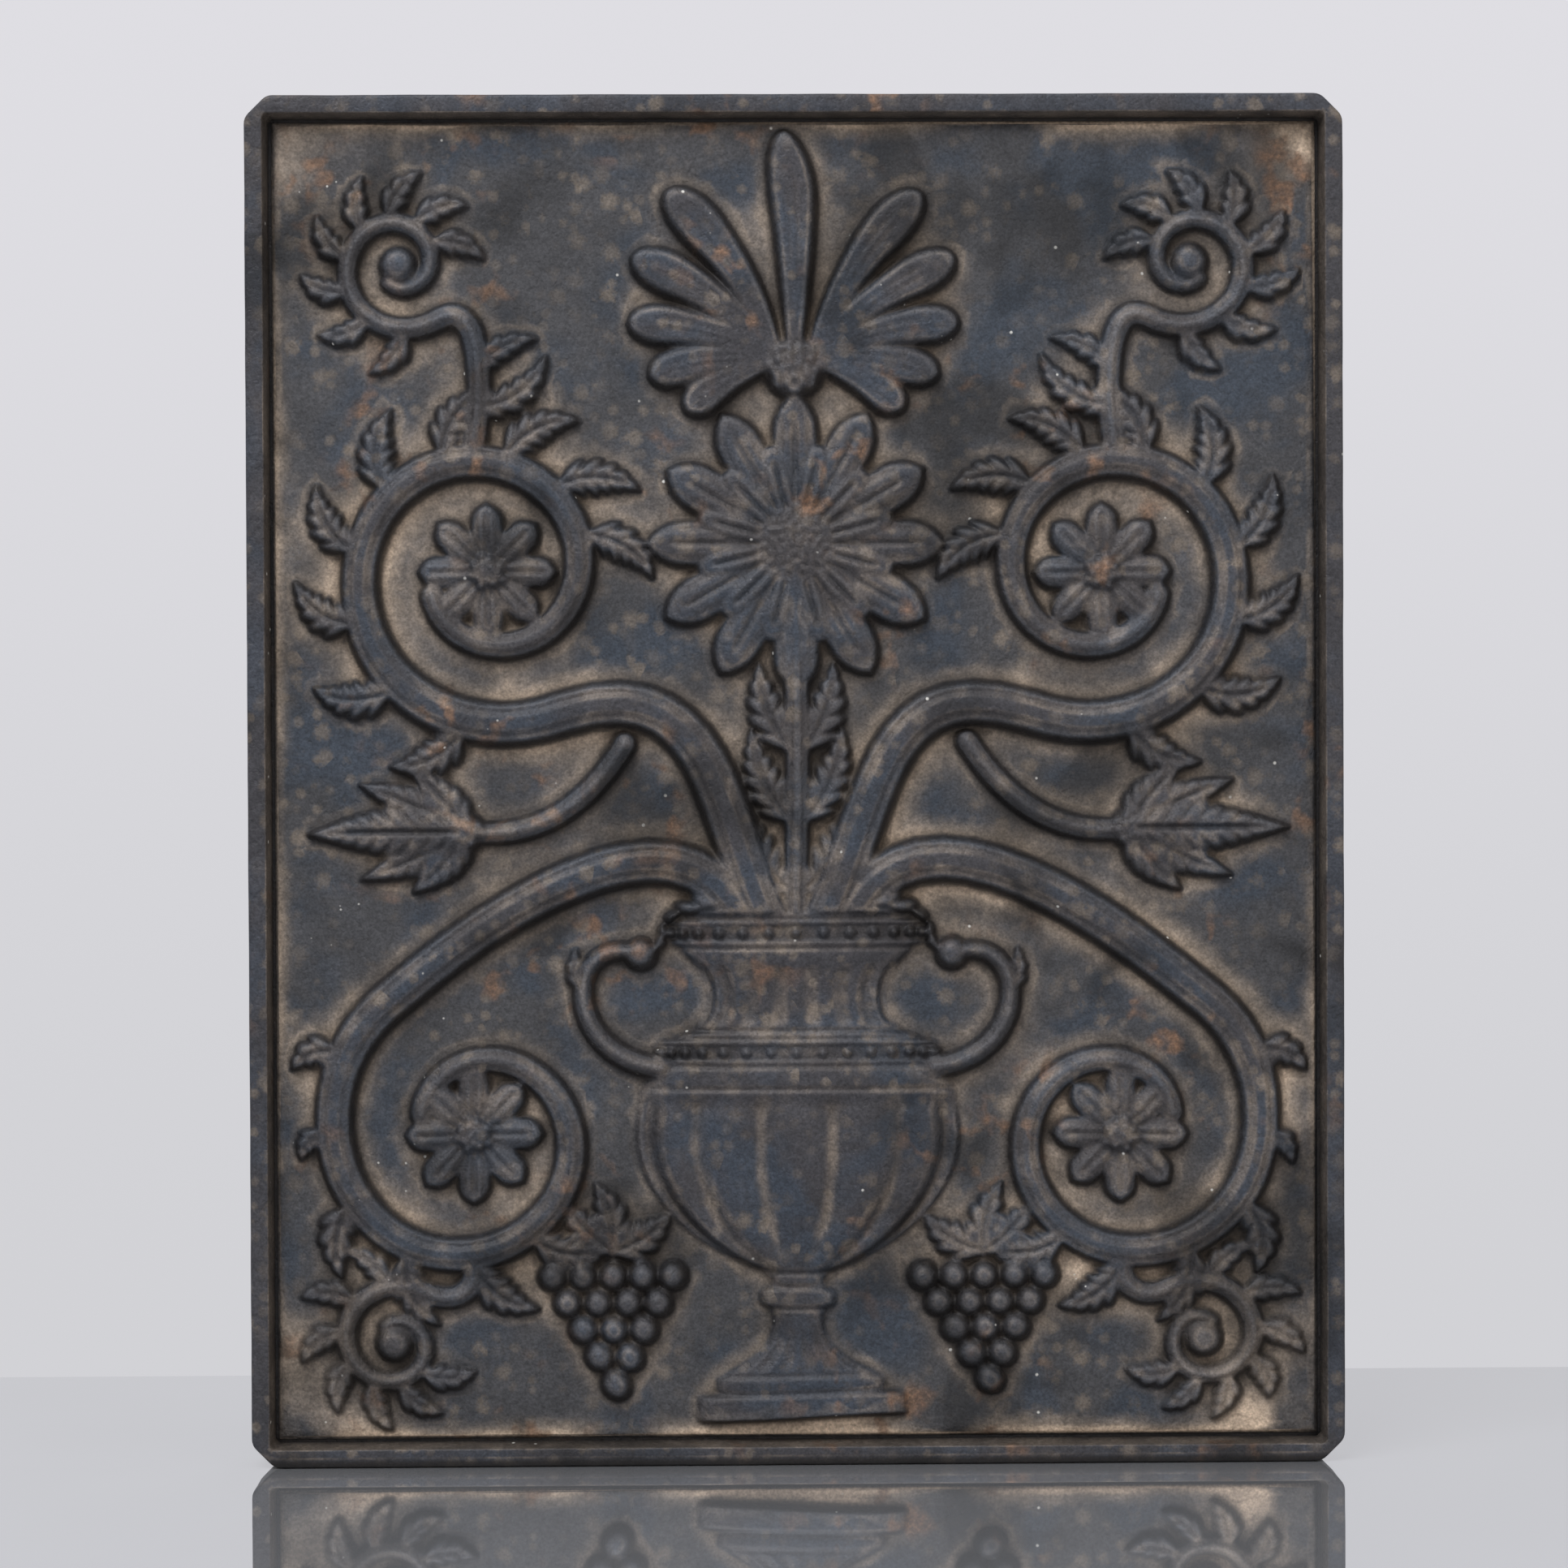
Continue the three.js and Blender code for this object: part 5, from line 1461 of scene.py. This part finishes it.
class FIREBACK_OT_clips(bpy.types.Operator):
    """Makes the six clips, their washers and their bolts"""

    bl_idname = "fireback.clips"
    bl_label = "Clips and Bolts"

    def execute(self, context):
        s = Sizes("fireback_fixings")
        clip_steel = browned_steel("Browned bar steel, clips", 0.9, 2)
        bolt_steel = browned_steel("Browned bolt steel", 1.0, 5)

        low, high = box_mm("clip_top")
        half = (high.x - low.x) / 2
        tail = (high.z - low.z) - s.clip_past_bolt
        end = s.clip_past_bolt
        cut = s.clip_cut
        outline = [
            (cut - tail, -half), (end - cut, -half), (end, cut - half), (end, half - cut),
            (end - cut, half), (cut - tail, half), (-tail, half - cut), (-tail, cut - half),
        ]
        clip = plank("clip", outline, 0, s.clip_thickness)
        hole = s.bolt_radius + s.hole_gap
        drilled(clip, hole, -1, s.clip_thickness + 1, 32)
        rounded(clip, 0.55, 2)
        self.wear(clip, 0.7)

        profile = ring_profile(hole, s.washer_radius, 0, s.washer_thickness, 0.35)
        washer = turned("washer", profile, 48)
        self.wear(washer, 0.4)

        low, high = box_mm("clip_bolt_top")
        bolt = self.bolt(s, high.y - low.y)

        for item, node, loose, seed, slot, steel in (
            (clip, "clip", math.radians(1.2), 3, "clip_steel", clip_steel),
            (washer, "clip_washer", 3.0, 4, "fixing_steel", bolt_steel),
            (bolt, "clip_bolt", math.pi, 8, "fixing_steel", bolt_steel),
        ):
            moved(item, TO_REAR)
            front = box_mm(f"{node}_top")[0].y
            spots = [(x, front, z, -turn) for x, z, turn in clip_places()]
            nodes = [f"{node}_{name}" for name in CLIP_NAMES]
            lay(item, f"{node}s", spots, loose, seed, slot, steel, nodes)
        return {"FINISHED"}

    def wear(self, item, width):
        """Marks the edges that rubbing has bared."""
        bm = bmesh.new()
        bm.from_mesh(item.data)
        bent = []
        for vertex in bm.verts:
            spread_out = [edge.calc_face_angle(0.0) for edge in vertex.link_edges]
            bent.append(min(1.0, width * max(spread_out, default=0.0)))
        bm.free()
        store(item, "wear", bent)

    def bolt(self, s, total):
        """A hexagon bolt along +Z: its shank from 0, a bearing face, and a head with cut corners."""
        sides = 48
        corner = s.across_flats / math.sqrt(3)
        flat = s.across_flats / 2
        base = total - s.head_height
        angles = [2 * math.pi * k / sides for k in range(sides)]

        hexagon = [flat / math.cos((a + math.pi / 6) % (math.pi / 3) - math.pi / 6) for a in angles]

        def loop(radius, z):
            """Points round the axis, from one radius or from one for each angle."""
            radii = radius if isinstance(radius, list) else [radius] * sides
            return [(r * math.cos(a), r * math.sin(a), z) for r, a in zip(radii, angles)]

        pitch, first, depth = 1.25, 1.2, 0.55
        thread = []
        for k in range(int((base - 2) / pitch)):
            valley = first + k * pitch
            thread.append(loop(s.bolt_radius - depth, valley))
            thread.append(loop(s.bolt_radius, valley + pitch / 2))
        loops = [
            loop(0.0, 0), loop(s.bolt_radius - 1.1, 0),
            *thread,
            loop(s.bolt_radius - 0.1, base - 0.4),
            loop(flat * 0.95, base), loop(flat * 0.95, base + 0.35),
            loop([r - 0.3 for r in hexagon], base + 0.35), loop(hexagon, base + 0.65),
            loop([min(r, flat + 0.45 * (corner - flat)) for r in hexagon], total - 0.5),
            loop(flat * 0.97, total), loop(flat * 0.86, total),
            loop(flat * 0.80, total - 0.25), loop(0.0, total - 0.25),
        ]
        bolt = skinned("bolt", loops, ring=False)
        self.wear(bolt, 0.55)
        return bolt


class FIREBACK_OT_feet(bpy.types.Operator):
    """Casts the two feet, each with its barrel, web and pad"""

    bl_idname = "fireback.feet"
    bl_label = "Feet"

    def execute(self, context):
        s = Sizes("fireback_feet")
        iron = cast_iron("Sand-cast iron, feet", 0.8, 0.3, seed=15)
        x, y = hinge_axis()
        for name, side in SIDES.items():
            low, high = box_mm(f"foot_{name}")
            foot = self.foot(f"foot_{name}_casting", s, high.y - y, low, high)
            shifted(foot, side * x, y)
            for mark in MARKS:
                store(foot, mark, 0)
            shade(foot, 50)
            finish_piece(foot, f"{name}_foot", "foot_iron", iron, f"foot_{name}")
        return {"FINISHED"}

    def foot(self, name, s, reach, low, high):
        """One foot with its pin's axis on Z: the barrel, the web to the rear, and the pad."""
        barrel_low = box_mm("thrust_washer_right")[1].z + HINGE_GAP
        barrel_high = high.z
        web_high = barrel_high - 4
        web_low = barrel_low + 5.5
        toe = reach - s.pad_length
        under = bezier([
            point(s.barrel_radius - 2, web_low), point(0.45 * reach, web_low - 4),
            point(0.55 * reach, 0.3 * web_low), point(toe, 0),
        ], 22)
        nose = bezier([
            point(reach, s.toe_height - s.toe_round), point(reach, s.toe_height),
            point(reach - s.toe_round, s.toe_height),
        ], 5)
        over = bezier([
            point(reach - s.toe_round, s.toe_height), point(0.62 * reach, 0.28 * web_high),
            point(0.42 * reach, 0.92 * web_high), point(s.barrel_radius - 2, web_high),
        ], 26)[1:]
        rim = [*under, point(reach, 0), *nose, *over]
        web = plank("web", rim, -s.web_thickness / 2, s.web_thickness / 2)
        moved(web, Matrix(((0, 0, 1, 0), (1, 0, 0, 0), (0, 1, 0, 0), (0, 0, 0, 1))))
        close_up(web)
        profile = [
            (0, barrel_low), (s.barrel_radius - 0.7, barrel_low), (s.barrel_radius, barrel_low + 0.7),
            (s.barrel_radius, barrel_high - 0.7), (s.barrel_radius - 0.7, barrel_high),
            (0, barrel_high),
        ]
        barrel = turned("barrel", profile)
        pad_half = (high.x - low.x) / 2
        sole = [(-pad_half, toe), (pad_half, toe), (pad_half, reach), (-pad_half, reach)]
        pad = plank("pad", sole, 0, s.pad_thickness)
        body = blended(joined(name, [web, barrel, pad]), s.blend, 4)
        drilled(body, s.pin_radius + 0.35, -5, ABOVE_BARREL, 36)
        body.name = name
        return close_up(body)


class FIREBACK_OT_hinge_parts(bpy.types.Operator):
    """Makes the hinge pins, their thrust washers and their split pins"""

    bl_idname = "fireback.hinge_parts"
    bl_label = "Hinge Parts"

    def execute(self, context):
        s = Sizes("fireback_feet")
        steel = browned_steel("Browned pin steel", 0.95, 12)
        x, y = hinge_axis()
        spots = [(side * x, y, 0, 0.0) for side in SIDES.values()]

        low, high = box_mm("hinge_pin_right")
        seat = high.z - 5
        head = s.head_radius
        profile = [
            (0, low.z), (s.pin_radius - 1, low.z), (s.pin_radius, low.z + 1),
            (s.pin_radius, seat), (head - 0.5, seat), (head, seat + 0.5),
            *arc(0, seat + 1.6, head, 4, 20, 2),
            (head * 0.80, high.z - 0.9), (head * 0.52, high.z - 0.25), (head * 0.2, high.z),
            (0, high.z),
        ]
        pin = turned("pin", profile)
        store(pin, "wear", 0.5 * (positions(pin)[:, 2] > seat))

        low, high = box_mm("thrust_washer_right")
        rim = ring_profile(s.pin_radius + HINGE_GAP, s.barrel_radius, low.z, high.z, 0.35)
        washer = turned("thrust", rim, 48)
        store(washer, "wear", 0.3)

        for item, node, seed in ((pin, "hinge_pin", 6), (washer, "thrust_washer", 9)):
            nodes = [f"{node}_{name}" for name in SIDES]
            lay(item, f"{node}s", spots, 0.0, seed, "fixing_steel", steel, nodes)

        halves = [to_side(self.split_pin(s), side, x, y) for side in SIDES.values()]
        pins = joined("split_pins", halves)
        store(pins, "wear", 0.25)
        shade(pins, 40)
        nodes = [f"split_pin_{name}" for name in SIDES]
        finish_piece(pins, "plate", "fixing_steel", steel, *nodes)
        return {"FINISHED"}

    def split_pin(self, s):
        """One doubled wire: an eye on the outer side, and two legs, one bent to the rear."""
        low, high = box_mm("split_pin_right")
        x, y = hinge_axis()
        z = (low.z + high.z) / 2
        wire = s.wire_radius
        right = high.x - x
        left = low.x - x + wire
        bend = high.y - y - wire
        neck = s.pin_radius + 1.5
        eye = 3.4
        centre = right - (eye + 0.2) - wire
        points = [
            (left + 0.6, bend, -0.75 * wire), (left + 0.2, 0.5 * bend, -0.75 * wire),
            (left + 1.6, 0.3, -0.75 * wire), (-2, 0, -0.9 * wire), (neck, 0, -0.9 * wire),
        ]
        for angle in range(-140, 141, 35):
            turn = math.radians(angle)
            points.append((centre + eye * math.cos(turn), eye * math.sin(turn), 0.0))
        points += [
            (neck, 0, 0.9 * wire), (-2, 0, 0.9 * wire), (left + 2.4, 0, 0.9 * wire),
            (left + 0.4, -0.3, 1.0 * wire),
        ]
        curve = bpy.data.curves.new("split_wire", "CURVE")
        curve.dimensions = "3D"
        curve.bevel_depth = wire * MM
        curve.bevel_resolution = 3
        curve.use_fill_caps = True
        spline = curve.splines.new("NURBS")
        spline.points.add(len(points) - 1)
        for knot, (u, v, w) in zip(spline.points, points):
            knot.co = (u * MM, v * MM, (z + w) * MM, 1)
        spline.use_endpoint_u = True
        spline.order_u = 3
        spline.resolution_u = 6
        bent = new_object("split_wire", curve)
        mesh = final_mesh(bent)
        bpy.data.objects.remove(bent)
        return close_up(new_object("split_pin", mesh))


# The stage in millimetres, its lamps' places and sizes in metres, and the camera's turn in degrees.
TABLE = {"side": 2500, "front": 2600, "low": -30, "top": -0.02, "round": 2.0}
WALL = {"side": 6000, "low": -900, "high": 5000}
CAMERA = {"right": -27.3, "height": 271.8, "yaw": 0.870, "pitch": -0.882, "roll": -0.245}
LAMPS = (
    ("window", (-0.7, -1.3, 2.1), 1.3, 50, "#fbfcff"),
    ("bounce", (1.5, -1.4, 0.4), 1.4, 11, "#fff7ee"),
    ("rear", (0.6, 2.0, 1.7), 1.4, 12, "#fbfcff"),
)


class FIREBACK_OT_stage(bpy.types.Operator):
    """Sets the table, the backdrop, the lamps and the camera"""

    bl_idname = "fireback.stage"
    bl_label = "Stage"

    def execute(self, context):
        s = Sizes("fireback_stage")
        self.table(s)
        self.wall(s)
        self.lamps(s)
        self.camera(s)
        context.scene.view_settings.view_transform = "Standard"
        return {"FINISHED"}

    def table(self, s):
        """Metallic lacquer under a hard clear coat, which mirrors what stands on it."""
        side, front, back = TABLE["side"], TABLE["front"], s.table_back
        rim = [(-side, -front), (side, -front), (side, back), (-side, back)]
        top = plank("table", rim, TABLE["low"], TABLE["top"])
        rounded(top, TABLE["round"], 3)
        shade(top, 10)
        material, tree, shader, _ = blank_material("Pale metallic lacquer, clear-coated")
        place = add(tree, "place")
        cloud = add(tree, "clouds", place, per_metre(240), 3)
        smear = add(tree, "clouds", place, per_metre(60), 3, 0.5)
        toned = add(tree, "step", cloud, 0.3, 0.7, 0.97, 1.03)
        plug(shader, {
            "Base Color": add(tree, "scaled", tuple(s.table)[:3], toned),
            "Roughness": add(tree, "step", smear, 0.35, 0.7, 0.010, 0.016),
            "Metallic": 0.6,
            "Coat Weight": 1.0,
            "Coat Roughness": 0.006,
        })
        top.data.materials.append(material)

    def wall(self, s):
        """A plain backdrop. It shows its own colour, casts no light, and is clear from behind."""
        side, low, high, back = WALL["side"], WALL["low"], WALL["high"], s.wall_back
        corners = [(-side, back, low), (side, back, low), (side, back, high), (-side, back, high)]
        wall = mesh_object("backdrop", corners, [(0, 1, 2, 3)])
        material, tree, shader, out = blank_material("Matt backdrop")
        # Painted shade: the backdrop's colour darkens towards its bottom.
        level = add(tree, "step", add(tree, "height", add(tree, "place")), -0.1, 0.75)
        plug(shader, {
            "Emission Color": add(tree, "mix", level, tuple(s.wall_low), tuple(s.wall)),
            "Emission Strength": 1.0,
            "Base Color": linear("#000000"),
            "Specular IOR Level": 0.0,
        })
        clear = add(tree, "clear")
        plug(out, {"Surface": add(tree, "shaders", add(tree, "behind"), shader.outputs[0], clear)})
        wall.data.materials.append(material)
        wall.visible_diffuse = False
        wall.visible_shadow = False

    def lamps(self, s):
        """A room that lights evenly, a window at the upper left, and two weak fills."""
        world = bpy.data.worlds.new("Soft room")
        bpy.context.scene.world = world
        world.use_nodes = True
        tree = world.node_tree
        tree.nodes.clear()
        room = add(tree, "glow", linear("#f4f6fb"), 0.38)
        shown = add(tree, "glow", tuple(s.wall), 1.0)
        rays = add(tree, "light_path").outputs
        seen = add(tree, "plus", rays["Is Camera Ray"], rays["Is Glossy Ray"])
        seen = add(tree, "plus", seen, rays["Is Transmission Ray"])
        add(tree, "world_out", add(tree, "shaders", seen, room, shown))
        for lamp in LAMPS:
            self.lamp(*lamp)

    def lamp(self, name, place, size, watts, tint):
        data = bpy.data.lights.new(name, "AREA")
        data.shape = "SQUARE"
        data.size = size
        data.energy = watts
        data.color = linear(tint)[:3]
        lamp = new_object(name, data)
        lamp.visible_camera = False
        target = Vector((0, 0, HEIGHT / 2 * MM))
        lamp.location = place
        lamp.rotation_mode = "QUATERNION"
        lamp.rotation_quaternion = (target - lamp.location).to_track_quat("-Z", "Y")

    def camera(self, s):
        """The photograph's view, from where its lines run."""
        data = bpy.data.cameras.new("camera")
        data.lens = s.focal
        data.sensor_width = 36
        data.clip_end = 100
        camera = new_object("camera", data)
        yaw, pitch, roll = (math.radians(CAMERA[turn]) for turn in ("yaw", "pitch", "roll"))
        forward = Vector((
            math.sin(yaw) * math.cos(pitch), math.cos(yaw) * math.cos(pitch), math.sin(pitch),
        ))
        right = Vector((math.cos(yaw), -math.sin(yaw), 0))
        up = right.cross(forward)
        right, up = (
            math.cos(roll) * right + math.sin(roll) * up,
            math.cos(roll) * up - math.sin(roll) * right,
        )
        turn = Matrix((right, up, -forward)).transposed()
        place = (CAMERA["right"] * MM, -s.distance * MM, CAMERA["height"] * MM)
        camera.matrix_world = Matrix.Translation(place) @ turn.to_4x4()
        bpy.context.scene.camera = camera


# ----------------------------------------------------------------- the add-on

OPERATORS = (
    FIREBACK_OT_stage,
    FIREBACK_OT_border,
    FIREBACK_OT_relief,
    FIREBACK_OT_plate_back,
    FIREBACK_OT_clips,
    FIREBACK_OT_feet,
    FIREBACK_OT_hinge_parts,
)


class FIREBACK_PT_panel(bpy.types.Panel):
    """Lists the pieces of the fireback"""

    bl_label = "Fireback"
    bl_idname = "FIREBACK_PT_panel"
    bl_space_type = "VIEW_3D"
    bl_region_type = "UI"
    bl_category = "Fireback"

    def draw(self, context):
        for operator in OPERATORS:
            self.layout.operator(operator.bl_idname)
        for group in GROUPS:
            box = self.layout.box()
            settings = getattr(context.scene, group)
            for name in settings.__annotations__:
                box.prop(settings, name)


def register():
    for group, kind in GROUPS.items():
        bpy.utils.register_class(kind)
        setattr(bpy.types.Scene, group, PointerProperty(type=kind))
    for operator in OPERATORS:
        bpy.utils.register_class(operator)
    bpy.utils.register_class(FIREBACK_PT_panel)


def unregister():
    bpy.utils.unregister_class(FIREBACK_PT_panel)
    for operator in reversed(OPERATORS):
        bpy.utils.unregister_class(operator)
    for group, kind in reversed(GROUPS.items()):
        delattr(bpy.types.Scene, group)
        bpy.utils.unregister_class(kind)


def main():
    register()
    for operator in OPERATORS:
        family, name = operator.bl_idname.split(".")
        getattr(getattr(bpy.ops, family), name)()


if __name__ == "__main__":
    main()
